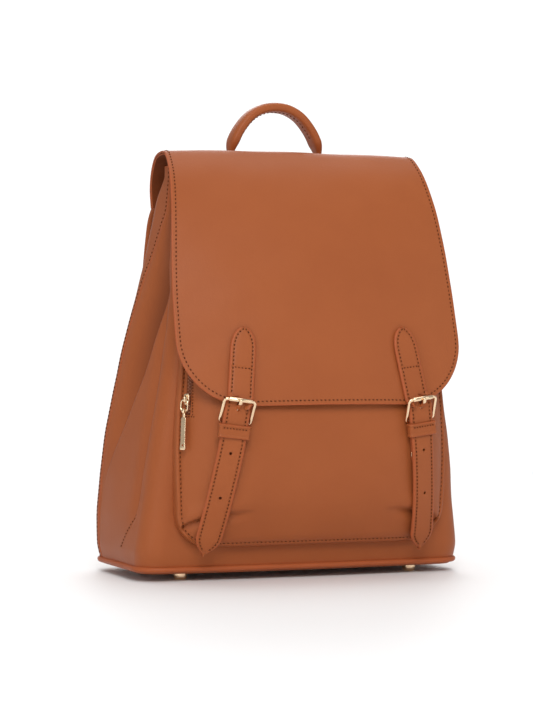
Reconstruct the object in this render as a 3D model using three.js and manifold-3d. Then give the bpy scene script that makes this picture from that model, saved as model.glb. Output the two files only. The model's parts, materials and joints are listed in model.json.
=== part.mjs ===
// A structured leather backpack: an A-line body with a flap, a zipped front pocket, two buckled
// closure straps, a carry handle and two shoulder straps.
// Millimetres, +Z up. The front faces -Y and the wearer's back is on the +Y side.
// While the bag is built, y = 0 is the ridge of the flap; at the end the bag is centred on y.
import * as THREE from 'three';
import { mergeVertices } from 'three/addons/utils/BufferGeometryUtils.js';
import Module from 'manifold-3d';

const wasm = await Module();
wasm.setup();

// ---- Driving dimensions ----------------------------------------------------------------------
const CENTRE_Y = 4;            // middle of the bag's depth, from the flap's ridge
const GAP = 0.3;               // air between neighbouring pieces
const LEATHER = 1.8;           // shell leather
const LINING = 0.8;            // lining cloth

// The body by height: height, half width at the back, half width at the front, back y, front y.
const BODY = [
  [11, 132, 127, 92, -29],
  [24, 137, 131.5, 94.5, -34],
  [60, 137.5, 129.5, 90, -38],
  [110, 134, 123.5, 83, -42],
  [180, 122, 113, 72, -44],
  [240, 109, 105, 62, -36],
  [288, 102.5, 99, 48, -20],
  [311, 98, 97, 28, -2],
];
const WALL_BOTTOM = 11;
const WALL_TOP = 311;
const BACK_CORNER = 24;        // plan radius of the rear corners
const FRONT_CORNER = 20;       // plan radius of the front corners
const FRONT_BOW = 4;           // how far the front panel bows out at its middle
const VALLEY = 9;              // depth of the fold in the side gusset

// The base: a rounded rectangle with a rolled rim, on four feet.
const RIM = { halfX: 130.6, front: -27, back: 91, radius: 24, z: 8.6, tube: 2.1 };
const BASE_BOTTOM = 6;
const FOOT = { x: 96, inset: 14, radius: 6.5, height: 5.7 };

// The flap's outer surface at its side edge, in (y, z), from the back seam over to the front.
const FLAP_PROFILE = [
  [53.2, 289], [49.5, 303], [40, 317], [26, 327.5], [12, 330.8], [0, 330], [-12, 321.5],
  [-22, 310], [-33, 289], [-42.5, 262], [-51, 230], [-64, 180], [-74.5, 134],
];
const FLAP = {
  ridge: 330, ridgeHalf: 104, backHalf: 98, flare: 11.5, flareDepth: 140,
  crownTop: 1.5, crown: 8.5, crownDepth: 110, corner: 52,
  leather: 1.6, lining: 1.1, hingeY: 12, openDeg: 130,
};

const STRAP = { width: 20, thick: 2.8, hole: 3 };
const STRAP_LINE = {            // the closure strap's own line, x outwards from the middle
  tip: [64.5, 193], seam: [68.6, 163],
};
const BUCKLE = { inner: 21.4, wire: 1.1, height: 16.5, tilt: 5.2, roller: 1.75, prong: 0.95 };
const POCKET = { half: 108, bottom: 27, top: 195, corner: 25, thick: 1.8 };
// The pocket by height: height, depth of its side edge in front of y = 0, and extra bulge.
const POCKET_SHAPE = [
  [27, 44, 3.5], [36, 46, 9], [62, 49.5, 19], [95, 50, 26], [120, 49.5, 28.5], [134, 49.5, 27.5],
  [150, 49, 25], [165, 48.5, 21], [180, 47.5, 17], [195, 46.5, 11],
];
const POCKET_FLATNESS = 6;      // exponent of the bulge across the pocket
const HANDLE = { half: 39, y: 36, base: 328.5, top: 368.5, radial: 11, across: 18 };

// ---- Materials ---------------------------------------------------------------------------------
const finish = (color, roughness, metalness = 0) =>
  new THREE.MeshStandardMaterial({ color, roughness, metalness });
const TAN = 0xa9643c;
const TAN_DARK = 0x8f4f2c;
const GOLD = 0xdcc08a;
const CLOTH = 0x6f4a34;

// ---- Building helpers --------------------------------------------------------------------------
const bag = new THREE.Group();
bag.position.y = -CENTRE_Y;

function add(name, geometry, color, roughness = 0.55, metalness = 0, parent = bag) {
  const mesh = new THREE.Mesh(geometry, finish(color, roughness, metalness));
  mesh.name = name;
  parent.add(mesh);
  return mesh;
}

// Smooth interpolation of a table whose rows start with the height.
function along(table, h) {
  const last = table.length - 1;
  const v = Math.min(Math.max(h, table[0][0]), table[last][0]);
  let i = 0;
  while (i < last - 1 && v > table[i + 1][0]) i += 1;
  const slope = (k, c) => {
    const a = Math.max(k - 1, 0);
    const b = Math.min(k + 1, last);
    return (table[b][c] - table[a][c]) / (table[b][0] - table[a][0]);
  };
  const span = table[i + 1][0] - table[i][0];
  const t = (v - table[i][0]) / span;
  return table[i].slice(1).map((from, n) => {
    const c = n + 1;
    const to = table[i + 1][c];
    const h00 = (1 + 2 * t) * (1 - t) ** 2;
    const h10 = t * (1 - t) ** 2;
    const h01 = t * t * (3 - 2 * t);
    const h11 = t * t * (t - 1);
    return h00 * from + h10 * span * slope(i, c) + h01 * to + h11 * span * slope(i + 1, c);
  });
}

const smoothstep = (t) => {
  const c = Math.min(Math.max(t, 0), 1);
  return c * c * (3 - 2 * c);
};
const steps = (n, from = 0, to = 1) => Array.from({ length: n + 1 }, (_, i) => from + ((to - from) * i) / n);

// An indexed geometry from points and triangles, turned so that its faces point out.
function closed(points, triangles) {
  let volume = 0;
  for (const [a, b, c] of triangles) {
    volume += points[a].dot(new THREE.Vector3().crossVectors(points[b], points[c]));
  }
  const index = volume > 0 ? triangles : triangles.map(([a, b, c]) => [a, c, b]);
  const geometry = new THREE.BufferGeometry();
  geometry.setAttribute('position', new THREE.Float32BufferAttribute(points.flatMap((p) => p.toArray()), 3));
  geometry.setIndex(index.flat());
  return geometry;
}

// A sheet with thickness: two grids of points of the same size, joined round their border.
function slab(outer, inner) {
  const rows = outer.length;
  const cols = outer[0].length;
  const points = [...outer.flat(), ...inner.flat()];
  const at = (side, i, j) => side * rows * cols + i * cols + j;
  const triangles = [];
  const quad = (a, b, c, d) => triangles.push([a, b, c], [a, c, d]);
  for (let i = 0; i < rows - 1; i += 1) {
    for (let j = 0; j < cols - 1; j += 1) {
      quad(at(0, i, j), at(0, i, j + 1), at(0, i + 1, j + 1), at(0, i + 1, j));
      quad(at(1, i, j), at(1, i + 1, j), at(1, i + 1, j + 1), at(1, i, j + 1));
    }
  }
  for (let i = 0; i < rows - 1; i += 1) {
    quad(at(0, i, 0), at(0, i + 1, 0), at(1, i + 1, 0), at(1, i, 0));
    quad(at(0, i, cols - 1), at(1, i, cols - 1), at(1, i + 1, cols - 1), at(0, i + 1, cols - 1));
  }
  for (let j = 0; j < cols - 1; j += 1) {
    quad(at(0, 0, j), at(1, 0, j), at(1, 0, j + 1), at(0, 0, j + 1));
    quad(at(0, rows - 1, j), at(0, rows - 1, j + 1), at(1, rows - 1, j + 1), at(1, rows - 1, j));
  }
  return closed(points, triangles);
}

// A tube through rings of equal size; loop joins the last ring to the first.
function skin(rings, loop = false) {
  const n = rings[0].length;
  const points = rings.flat();
  const triangles = [];
  const count = loop ? rings.length : rings.length - 1;
  for (let i = 0; i < count; i += 1) {
    const k = (i + 1) % rings.length;
    for (let j = 0; j < n; j += 1) {
      const m = (j + 1) % n;
      triangles.push([i * n + j, i * n + m, k * n + m], [i * n + j, k * n + m, k * n + j]);
    }
  }
  if (!loop) {
    for (const [start, turn] of [[0, 1], [(rings.length - 1) * n, 0]]) {
      const middle = new THREE.Vector3();
      for (let j = 0; j < n; j += 1) middle.addScaledVector(points[start + j], 1 / n);
      points.push(middle);
      for (let j = 0; j < n; j += 1) {
        const m = (j + 1) % n;
        const edge = turn ? [start + m, start + j] : [start + j, start + m];
        triangles.push([...edge, points.length - 1]);
      }
    }
  }
  return closed(points, triangles);
}

// A flat strap of leather along points, each with its outward normal and half width.
function ribbon(stations, thick) {
  const rings = stations.map(({ point, normal, half }, i) => {
    const next = stations[Math.min(i + 1, stations.length - 1)].point;
    const last = stations[Math.max(i - 1, 0)].point;
    const tangent = next.clone().sub(last).normalize();
    const side = new THREE.Vector3().crossVectors(tangent, normal).normalize();
    const out = new THREE.Vector3().crossVectors(side, tangent).normalize().multiplyScalar(thick / 2);
    const wide = side.multiplyScalar(half);
    return [
      point.clone().add(wide).add(out), point.clone().sub(wide).add(out),
      point.clone().sub(wide).sub(out), point.clone().add(wide).sub(out),
    ];
  });
  return skin(rings);
}

// A round wire along a closed path of points lying in one plane.
function wireLoop(path, radius, planeNormal, sides = 8) {
  const rings = path.map((p, i) => {
    const next = path[(i + 1) % path.length];
    const last = path[(i + path.length - 1) % path.length];
    const tangent = next.clone().sub(last).normalize();
    const across = new THREE.Vector3().crossVectors(tangent, planeNormal).normalize();
    return steps(sides - 1, 0, sides - 1).map((k) => {
      const a = (2 * Math.PI * k) / sides;
      return p.clone().addScaledVector(across, radius * Math.cos(a))
        .addScaledVector(planeNormal, radius * Math.sin(a));
    });
  });
  return skin(rings, true);
}

// The points of a rounded rectangle, turning anticlockwise from the right side.
function roundedRect(halfX, halfY, radius, perCorner = 4) {
  const points = [];
  for (const [sx, sy, start] of [[1, 1, 0], [-1, 1, 90], [-1, -1, 180], [1, -1, 270]]) {
    for (const t of steps(perCorner)) {
      const a = THREE.MathUtils.degToRad(start + 90 * t);
      points.push(new THREE.Vector2(
        sx * (halfX - radius) + radius * Math.cos(a),
        sy * (halfY - radius) + radius * Math.sin(a),
      ));
    }
  }
  return points;
}

function plate(outline, from, to) {
  const geometry = new THREE.ExtrudeGeometry(new THREE.Shape(outline), { depth: to - from, bevelEnabled: false });
  return geometry.translate(0, 0, from);
}

// ---- Joining and cutting -------------------------------------------------------------------------
function toSolid(geometry) {
  const bare = geometry.clone();
  bare.deleteAttribute('normal');
  bare.deleteAttribute('uv');
  const merged = mergeVertices(bare, 1e-4);
  return new wasm.Manifold(new wasm.Mesh({
    numProp: 3,
    vertProperties: Float32Array.from(merged.attributes.position.array),
    triVerts: Uint32Array.from(merged.index.array),
  }));
}

function fromSolid(solid) {
  const mesh = solid.getMesh();
  const geometry = new THREE.BufferGeometry();
  geometry.setAttribute('position', new THREE.BufferAttribute(new Float32Array(mesh.vertProperties), 3));
  geometry.setIndex(new THREE.BufferAttribute(new Uint32Array(mesh.triVerts), 1));
  return geometry;
}

const cut = (body, ...tools) => fromSolid(tools.reduce((s, t) => s.subtract(toSolid(t)), toSolid(body)));
const join = (first, ...rest) => fromSolid(rest.reduce((s, t) => s.add(toSolid(t)), toSolid(first)));

// ---- The body shell ------------------------------------------------------------------------------
// One half of the body's outline at a height, as named stretches that each take t from 0 to 1.
// ease widens and deepens the fold, for layers that lie inside the leather.
function outline(z, inset, ease = 0) {
  const [backHalf, frontHalf, back, front] = along(BODY, z);
  const depth = back - front;
  const rBack = Math.min(BACK_CORNER, depth * 0.32) - inset;
  const rFront = Math.min(FRONT_CORNER, depth * 0.32) - inset;
  const hb = backHalf - inset;
  const hf = frontHalf - inset;
  const yb = back - inset;
  const yf = front + inset;
  const fold = ease + VALLEY * smoothstep((z - 75) / 110) * (1 - 0.4 * smoothstep((z - 250) / 60));
  const crease = 0.18 + 0.64 * smoothstep((z - 70) / 175);
  const seam = seamAt(z);
  return {
    back: (t) => [t * (hb - rBack), yb],
    backCorner: (t) => {
      const a = (Math.PI / 2) * (1 - t);
      return [hb - rBack + rBack * Math.cos(a), yb - rBack + rBack * Math.sin(a)];
    },
    side: (t) => {
      const middle = (seam + crease) / 2;
      const reach = Math.max((crease - seam) / 2, 0.12) * (1.25 + 0.2 * ease);
      const bump = Math.max(0, 1 - ((t - middle) / reach) ** 2) ** 2;
      const x = hb + (hf - hb) * t - fold * bump;
      return [x, yb - rBack + (yf + rFront - yb + rBack) * t];
    },
    frontCorner: (t) => {
      const a = -(Math.PI / 2) * t;
      return [hf - rFront + rFront * Math.cos(a), yf + rFront + rFront * Math.sin(a)];
    },
    front: (t) => {
      const x = (1 - t) * (hf - rFront);
      return [x, yf - FRONT_BOW * (1 - (x / (hf - rFront)) ** 2)];
    },
  };
}

// Where the back panel's seam runs on the side wall: at the rear corner, then forward near the top.
function seamAt(z) {
  return 0.03 + 0.42 * smoothstep((z - 170) / 160);
}

// Columns of a panel as [stretch, t] pairs, on the left (-1) or right (+1) side.
function panelGrid(columns, rows, inset, ease = 0) {
  return rows.map((z) => {
    const line = outline(z, inset, ease);
    return columns.map(([side, stretch, t]) => {
      const value = typeof t === 'function' ? t(z) : t;
      const [x, y] = line[stretch](value);
      return new THREE.Vector3(side * x, y, z);
    });
  });
}

function panel(columns, rows, inset, thick) {
  return slab(panelGrid(columns, rows, inset), panelGrid(columns, rows, inset + thick));
}

const WALL_ROWS = [WALL_BOTTOM, 18, 34, 60, 90, 120, 150, 180, 210, 240, 266, 290, WALL_TOP];
const LINING_ROWS = [WALL_BOTTOM + 1.4, 34, 60, 90, 120, 150, 180, 210, 240, 266, 290, WALL_TOP - 2];
const SEAM_GAP = 0.006;         // half the seam's gap, as a share of the side wall
const FRONT_SEAM = 0.5;         // where the front seam lies on the front corner

function halfColumns(side, pairs) {
  return pairs.map(([stretch, t]) => [side, stretch, t]);
}

function bodyShell() {
  const cornerSteps = steps(4).slice(1);
  const backHalf = [
    ...steps(2).map((t) => ['back', t]),
    ...cornerSteps.map((t) => ['backCorner', t]),
    ['side', (z) => seamAt(z) * 0.5],
    ['side', (z) => seamAt(z) - SEAM_GAP],
  ];
  const backColumns = [
    ...halfColumns(-1, backHalf).reverse(),
    ...halfColumns(1, backHalf.slice(1)),
  ];
  add('back_panel', panel(backColumns, WALL_ROWS, 0, LEATHER), TAN);

  const sideHalf = [
    ...steps(8).map((t) => ['side', (z) => seamAt(z) + SEAM_GAP + (1 - seamAt(z) - SEAM_GAP) * t]),
    ['frontCorner', 0.25],
    ['frontCorner', FRONT_SEAM - 0.01],
  ];
  for (const [name, side] of [['left', -1], ['right', 1]]) {
    add(`gusset_${name}`, panel(halfColumns(side, sideHalf), WALL_ROWS, 0, LEATHER), TAN_DARK);
  }

  const frontHalf = [
    ['frontCorner', FRONT_SEAM + 0.01],
    ['frontCorner', 0.75],
    ...steps(3).map((t) => ['front', t]),
  ];
  const frontColumns = [
    ...halfColumns(-1, frontHalf),
    ...halfColumns(1, frontHalf.slice(0, -1)).reverse(),
  ];
  add('front_panel', panel(frontColumns, WALL_ROWS, 0, LEATHER), TAN);
}
bodyShell();

const LINING_EASE = 2;

// The lining: a tub of cloth just inside the shell, open at the top, with a floor.
function liningTub() {
  const inset = LEATHER + 1.2;
  const half = [
    ['back', 0], ['back', 1], ['backCorner', 0.33], ['backCorner', 0.67], ['backCorner', 1],
    ['side', 0.18], ['side', 0.36], ['side', 0.54], ['side', 0.72], ['side', 0.9],
    ['frontCorner', 0.33], ['frontCorner', 0.67], ['frontCorner', 1], ['front', 1],
  ];
  const ring = (z, offset) => {
    const columns = [...halfColumns(1, half), ...halfColumns(-1, half.slice(1, -1)).reverse()];
    return panelGrid(columns, [z], offset, LINING_EASE)[0];
  };
  const outside = LINING_ROWS.map((z) => ring(z, inset));
  const inside = LINING_ROWS.map((z, i) => ring(z, inset + LINING).map((p) => (
    i === 0 ? p.setZ(z + LINING) : p
  )));
  // The skin runs up the outside, over the brim and down the inside to the floor.
  add('lining', skin([...outside, ...inside.reverse()]), CLOTH, 0.9);
}
liningTub();

function backStiffener() {
  const inset = LEATHER + 1.2 + LINING + 0.5;
  const half = [['back', 0], ['back', 0.5], ['back', 0.94]];
  const columns = [...halfColumns(-1, half).reverse(), ...halfColumns(1, half.slice(1))];
  const rows = [36, 60, 90, 120, 150, 180, 210, 240];
  add('back_stiffener', panel(columns, rows, inset, 2.2), CLOTH, 0.9);
  const pocketHalf = [['back', 0], ['back', 0.75]];
  const pocketColumns = [...halfColumns(-1, pocketHalf).reverse(), ...halfColumns(1, pocketHalf.slice(1))];
  add('inner_slip_pocket', panel(pocketColumns, [90, 120, 150, 180, 210], inset + 2.6, 1), CLOTH, 0.9);
}
backStiffener();

// ---- The base ------------------------------------------------------------------------------------
function base() {
  const middle = (RIM.front + RIM.back) / 2;
  const halfY = (RIM.back - RIM.front) / 2;
  const shifted = (inset) => roundedRect(RIM.halfX - inset, halfY - inset, RIM.radius - inset, 4)
    .map((p) => p.clone().add(new THREE.Vector2(0, middle)));
  const under = RIM.tube + GAP;
  add('bottom_panel', plate(shifted(under), BASE_BOTTOM, BASE_BOTTOM + 2), TAN_DARK);
  add('base_board', plate(shifted(under + 1), BASE_BOTTOM + 2.3, BASE_BOTTOM + 4.5), CLOTH, 0.9);
  const path = shifted(0).map((p) => new THREE.Vector3(p.x, p.y, RIM.z));
  add('base_piping', wireLoop(path, RIM.tube, new THREE.Vector3(0, 0, 1), 6), TAN_DARK);

  const dome = [
    [0, 0], [4.6, 0], [FOOT.radius, 2], [FOOT.radius, 3.8], [4.6, FOOT.height], [0, FOOT.height],
  ].map(([r, z]) => new THREE.Vector2(r, z));
  for (const [row, y] of [['front', RIM.front + FOOT.inset], ['back', RIM.back - FOOT.inset]]) {
    for (const [name, side] of [['left', -1], ['right', 1]]) {
      const foot = add(`foot_${row}_${name}`, new THREE.LatheGeometry(dome, 12), GOLD, 0.3, 1);
      foot.geometry.rotateX(Math.PI / 2);
      foot.position.set(side * FOOT.x, y, 0);
    }
  }
}
base();

// ---- The flap --------------------------------------------------------------------------------------
const flapCurve = new THREE.CatmullRomCurve3(
  FLAP_PROFILE.map(([y, z]) => new THREE.Vector3(0, y, z)), false, 'centripetal',
);
flapCurve.arcLengthDivisions = 400;
const FLAP_LENGTH = flapCurve.getLength();

function flapHalf(y, z) {
  if (y > FLAP.hingeY) {
    const share = (z - FLAP_PROFILE[0][1]) / (FLAP.ridge - FLAP_PROFILE[0][1]);
    return FLAP.backHalf + (FLAP.ridgeHalf - FLAP.backHalf) * Math.min(share, 1);
  }
  const down = Math.min((FLAP.ridge - z) / FLAP.flareDepth, 1);
  return FLAP.ridgeHalf + FLAP.flare * Math.sin((Math.PI / 2) * Math.max(down, 0));
}

// A point of the flap: s is the length along the profile, t runs across from -1 to 1, and
// depth is measured inwards from the outer surface.
function flapPoint(s, t, depth) {
  const u = Math.min(Math.max(s / FLAP_LENGTH, 0), 1);
  const p = flapCurve.getPointAt(u);
  const tangent = flapCurve.getTangentAt(u);
  const out = new THREE.Vector3(0, tangent.z, -tangent.y);
  if (out.dot(new THREE.Vector3(0, p.y - 10, p.z - 250)) < 0) out.negate();
  const half = flapHalf(p.y, p.z);
  const front = p.y > FLAP.hingeY ? 0 : smoothstep((FLAP.ridge - p.z) / FLAP.crownDepth);
  const crown = (FLAP.crownTop + FLAP.crown * front) * (1 - t * t);
  return p.addScaledVector(out, crown - depth).setX(t * half);
}

// The length along the profile at which the flap's edge passes a given y, near the top.
function flapLengthAtY(y) {
  let low = 0;
  let high = FLAP_LENGTH;
  for (let k = 0; k < 40; k += 1) {
    const mid = (low + high) / 2;
    if (flapCurve.getPointAt(mid / FLAP_LENGTH).y > y) low = mid;
    else high = mid;
  }
  return low;
}

// The point of the flap's front with a given x and height, at a depth below the surface.
function flapFrontAt(x, z, depth) {
  let low = flapLengthAtY(0);
  let high = FLAP_LENGTH;
  let point = null;
  for (let k = 0; k < 40; k += 1) {
    const mid = (low + high) / 2;
    const p = flapCurve.getPointAt(mid / FLAP_LENGTH);
    point = flapPoint(mid, x / flapHalf(p.y, p.z), depth);
    if (point.z > z) low = mid;
    else high = mid;
  }
  return point;
}

function flapEnd(t) {
  const half = FLAP.ridgeHalf + FLAP.flare;
  const k = Math.max(0, (Math.abs(t) * half - (half - FLAP.corner)) / FLAP.corner);
  return FLAP_LENGTH - FLAP.corner * (1 - Math.sqrt(Math.max(0, 1 - k * k)));
}

const HINGE_S = flapLengthAtY(FLAP.hingeY);
const FLAP_TOTAL = FLAP.leather + GAP + FLAP.lining;

// A layer of the flap between two depths. from and to give each column's first and last length.
function flapLayer(top, bottom, columns, rows, from, to) {
  const grid = (depth) => steps(rows).map((r) => columns.map((t) => {
    const start = from(t, depth);
    return flapPoint(start + (to(t, depth) - start) * r, t, depth);
  }));
  return slab(grid(top), grid(bottom));
}

function flap() {
  const columns = steps(12, -1, 1).map((t) => Math.sin((Math.PI / 2) * t));
  // The two halves meet at the hinge with bevelled ends, so that the flap can fold right back.
  const bevel = Math.tan(THREE.MathUtils.degToRad(FLAP.openDeg / 2)) * 1.02;
  const clear = (depth) => (FLAP_TOTAL - depth) * bevel + 0.35;
  const ahead = (t, depth) => HINGE_S + clear(depth);
  const behind = (t, depth) => HINGE_S - clear(depth);
  const seam = () => 0;
  const brim = (t) => flapEnd(t);
  const liningTop = FLAP.leather + GAP;
  add('flap_yoke', flapLayer(0, FLAP.leather, columns, 5, seam, behind), TAN);
  add('flap_yoke_lining', flapLayer(liningTop, FLAP_TOTAL, columns, 5, seam, behind), TAN_DARK);
  add('flap_leather', flapLayer(0, FLAP.leather, columns, 12, ahead, brim), TAN);
  add('flap_lining', flapLayer(liningTop, FLAP_TOTAL, columns, 12, ahead, brim), TAN_DARK);
}
flap();

// ---- The top zip under the flap --------------------------------------------------------------------
const TOP_ZIP = { z: 312, half: 94, front: -1, back: 27, tape: 1, teeth: 5, coil: 1.8, rest: 14 };
const TOP_PULLER = { length: 20, width: 4.4, thick: 1.3, eye: 2.5 };

function topZip() {
  const middle = (TOP_ZIP.front + TOP_ZIP.back) / 2;
  const tapeDepth = (TOP_ZIP.back - TOP_ZIP.front - TOP_ZIP.teeth) / 2 - GAP;
  for (const [name, side] of [['front', -1], ['back', 1]]) {
    const strip = new THREE.BoxGeometry(TOP_ZIP.half * 2, tapeDepth, TOP_ZIP.tape);
    const tape = add(`top_zip_tape_${name}`, strip, CLOTH, 0.9);
    const y = middle + side * (TOP_ZIP.teeth / 2 + GAP + tapeDepth / 2);
    tape.position.set(0, y, TOP_ZIP.z);
  }
  const row = new THREE.BoxGeometry(TOP_ZIP.half * 2 - 6, TOP_ZIP.teeth, TOP_ZIP.coil);
  const teeth = add('top_zip_coil', row, TAN_DARK);
  teeth.position.set(0, middle, TOP_ZIP.z);

  const sliderX = TOP_ZIP.rest - TOP_ZIP.half;
  const sliderZ = TOP_ZIP.z + TOP_ZIP.coil / 2 + GAP;
  const shape = new THREE.Shape(roundedRect(5.5, 4, 2.4, 2));
  const body = new THREE.ExtrudeGeometry(shape, { depth: 2.4, bevelEnabled: false });
  const bail = bailGeometry(2.4, 4.6).rotateZ(Math.PI / 2).translate(0, 0, 2.2);
  const slider = add('top_zip_slider', join(body, bail), GOLD, 0.3, 1);
  slider.position.set(sliderX, middle, sliderZ);
  const pull = cut(
    new THREE.BoxGeometry(TOP_PULLER.length, TOP_PULLER.width, TOP_PULLER.thick)
      .translate(TOP_PULLER.length / 2, 0, 0),
    new THREE.BoxGeometry(2.6, 2.2, 4).translate(TOP_PULLER.eye, 0, 0),
  );
  const puller = add('top_zip_puller', pull, GOLD, 0.3, 1);
  puller.position.set(sliderX, middle, sliderZ + 3.6);
}

// The small arched loop on a zip slider: it spans along y, and stands on z = 0.
function bailGeometry(halfSpan, height) {
  const wire = 0.55;
  const path = new THREE.CatmullRomCurve3([
    new THREE.Vector3(0, -halfSpan, 0), new THREE.Vector3(0, -halfSpan, height * 0.55),
    new THREE.Vector3(0, -halfSpan * 0.5, height * 0.82), new THREE.Vector3(0, halfSpan * 0.5, height * 0.82),
    new THREE.Vector3(0, halfSpan, height * 0.55), new THREE.Vector3(0, halfSpan, 0),
  ]);
  const section = new THREE.Shape(new THREE.EllipseCurve(0, 0, wire, wire).getPoints(6).slice(0, 6));
  return new THREE.ExtrudeGeometry(section, { steps: 8, extrudePath: path });
}

// ---- The front pocket ------------------------------------------------------------------------------
function pocketHalf(z, inset) {
  const up = Math.max(0, POCKET.corner - (z - POCKET.bottom));
  const corner = POCKET.corner - Math.sqrt(Math.max(0, POCKET.corner ** 2 - up ** 2));
  return POCKET.half - corner - inset;
}

function pocketY(x, z, inset) {
  const [edge, bulge] = along(POCKET_SHAPE, z);
  const share = Math.min(Math.abs(x) / pocketHalf(z, inset), 1);
  return -(edge - inset + bulge * (1 - share ** POCKET_FLATNESS));
}

function pocketRoot(x, z) {
  const [, frontHalf, , front] = along(BODY, z);
  const flat = frontHalf - FRONT_CORNER;
  const past = Math.max(0, Math.abs(x) - flat);
  const bow = FRONT_BOW * Math.max(0, 1 - (x / flat) ** 2);
  const round = FRONT_CORNER - Math.sqrt(Math.max(0, FRONT_CORNER ** 2 - past ** 2));
  return front - bow + round - GAP - 0.3;
}

function pocketShell(inset) {
  const bottom = POCKET.bottom + inset;
  const top = POCKET.top - inset;
  const heights = [bottom, 30, 38, 50, 70, 92, 114, 134, 156, 178, top];
  const across = [-1, -0.95, -0.88, -0.78, -0.6, -0.3, 0, 0.3, 0.6, 0.78, 0.88, 0.95, 1];
  const row = (z, rooted) => {
    const half = pocketHalf(z, inset);
    const face = across.map((t) => {
      const y = rooted ? pocketRoot(t * half, z) : pocketY(t * half, z, inset);
      return new THREE.Vector3(t * half, y, z);
    });
    const walls = [-1, 1].map((s) => new THREE.Vector3(s * half, pocketRoot(half, z), z));
    return [walls[0], ...face, walls[1]];
  };
  const rows = heights.map((z) => row(Math.max(z, bottom), false));
  return [row(bottom, true), ...rows, row(top, true)];
}

// The pocket's zip lies on the steep left flank of the bulge, upright, from its lower stop up.
const ZIP = {
  x: -104.3, y: -54.6, low: 128, high: 182, slot: 6.6, turn: 55, lean: 0.055, rest: 139.5,
};

function zipFrame(z) {
  const group = new THREE.Group();
  group.rotation.order = 'ZXY';
  group.rotation.set(-Math.atan(ZIP.lean), 0, -THREE.MathUtils.degToRad(ZIP.turn));
  const up = new THREE.Vector3(0, 0, 1).applyEuler(group.rotation);
  group.position.set(ZIP.x, ZIP.y, ZIP.low).addScaledVector(up, (z - ZIP.low) / up.z);
  group.updateMatrix();
  bag.add(group);
  return group;
}

function pocket() {
  const shell = slab(pocketShell(0), pocketShell(POCKET.thick));
  const length = ZIP.high - ZIP.low;
  const frame = zipFrame((ZIP.low + ZIP.high) / 2);
  const slot = new THREE.BoxGeometry(ZIP.slot, 11, length);
  slot.translate(0, -2, 0);
  slot.applyMatrix4(frame.matrix);
  add('front_pocket', cut(shell, slot), TAN);
  const tape = add('pocket_zip_tape', new THREE.BoxGeometry(5.6, 0.6, length - 1), CLOTH, 0.9, 0, frame);
  tape.position.set(0, 2.2, 0);
  const coil = add('pocket_zip_coil', new THREE.BoxGeometry(2.8, 1.1, length - 2), TAN_DARK, 0.5, 0, frame);
  coil.position.set(0, 0.95, 0);
}

function pocketZipPull() {
  const frame = zipFrame(ZIP.rest);
  const shape = new THREE.Shape(roundedRect(2.9, 4.4, 1.6, 2));
  const body = new THREE.ExtrudeGeometry(shape, { depth: 2.2, bevelEnabled: false });
  const bail = bailGeometry(2.2, 4.6).translate(0, -0.5, 2);
  const upright = join(body, bail).rotateX(Math.PI / 2);
  add('pocket_zip_slider', upright, GOLD, 0.25, 1, frame);
  // The ring hangs through the slider's loop, and the puller's eye hangs on the ring.
  const out = -(2 + 4.6 * 0.82 - 0.55 - 1.0);
  const ringHalf = { x: 3.1, z: 4.2 };
  const path = roundedRect(ringHalf.x, ringHalf.z, 1.6, 3).map((p) => new THREE.Vector3(p.x, 0, p.y));
  const ring = add('pocket_zip_ring', wireLoop(path, 0.6, new THREE.Vector3(0, -1, 0), 6), GOLD, 0.25, 1, frame);
  ring.position.set(0, out, -0.5 - ringHalf.z);
  const eye = cut(
    new THREE.CylinderGeometry(2, 2, 2.4, 12).rotateZ(Math.PI / 2),
    new THREE.CylinderGeometry(1.05, 1.05, 4, 12).rotateZ(Math.PI / 2),
  );
  const neck = new THREE.BoxGeometry(2.4, 1.6, 3.2).translate(0, 0, -3.1);
  const bar = cut(
    new THREE.BoxGeometry(4.2, 1.6, 25).translate(0, 0, -16.6),
    new THREE.CylinderGeometry(0.7, 0.7, 4, 8).translate(0, 0, -25.5),
  );
  const puller = add('pocket_zip_puller', join(eye, neck, bar), GOLD, 0.25, 1, frame);
  puller.position.set(0, out, -0.5 - ringHalf.z * 2);
}

topZip();
pocket();
pocketZipPull();

// ---- Closure straps --------------------------------------------------------------------------------
// The free strap's middle line by height: height, x outwards, y.
const FREE_LINE = [
  [19, 90, -46], [36, 87.6, -56.5], [62, 84, -67.6], [95, 79.2, -77.3], [110, 77.2, -80.2],
  [122, 75.8, -81.4], [139, 73.5, -83.2],
];
const FREE_TOP = 139;           // above this the strap lies on the flap
// How far the strap's face is rolled outwards, in degrees, by height.
const STRAP_ROLL = [[19, 6], [36, 11], [62, 15], [95, 15], [110, 11], [122, 7], [139, 5], [193, 4.5]];

function strapPoint(z, side) {
  const { tip, seam } = STRAP_LINE;
  if (z <= FREE_TOP) {
    const [x, y] = along(FREE_LINE, z);
    return new THREE.Vector3(side * x, y, z);
  }
  const x = seam[0] + ((z - seam[1]) * (tip[0] - seam[0])) / (tip[1] - seam[1]);
  const lift = STRAP.thick / 2 + GAP;
  return flapFrontAt(x, z, -lift).setX(side * x);
}

// The strap's outward direction at a height, square to its line.
function strapNormal(z, side) {
  const a = strapPoint(Math.min(z + 3, 192), side);
  const b = strapPoint(Math.max(z - 3, 19), side);
  const tangent = b.sub(a).normalize();
  const across = new THREE.Vector3(1, 0, 0).addScaledVector(tangent, -tangent.x).normalize();
  const out = new THREE.Vector3().crossVectors(across, tangent);
  if (out.y > 0) out.negate();
  const roll = THREE.MathUtils.degToRad(along(STRAP_ROLL, z)[0]);
  return out.multiplyScalar(Math.cos(roll)).addScaledVector(across, side * Math.sin(roll));
}

// Half width of a strap that ends in a pointed arch, at a distance from its tip.
function arched(distance) {
  const reach = 17;
  const k = Math.min(distance / reach, 1);
  return Math.max(0.8, (STRAP.width / 2) * Math.sqrt(1 - (1 - k) ** 2.1));
}

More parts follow.
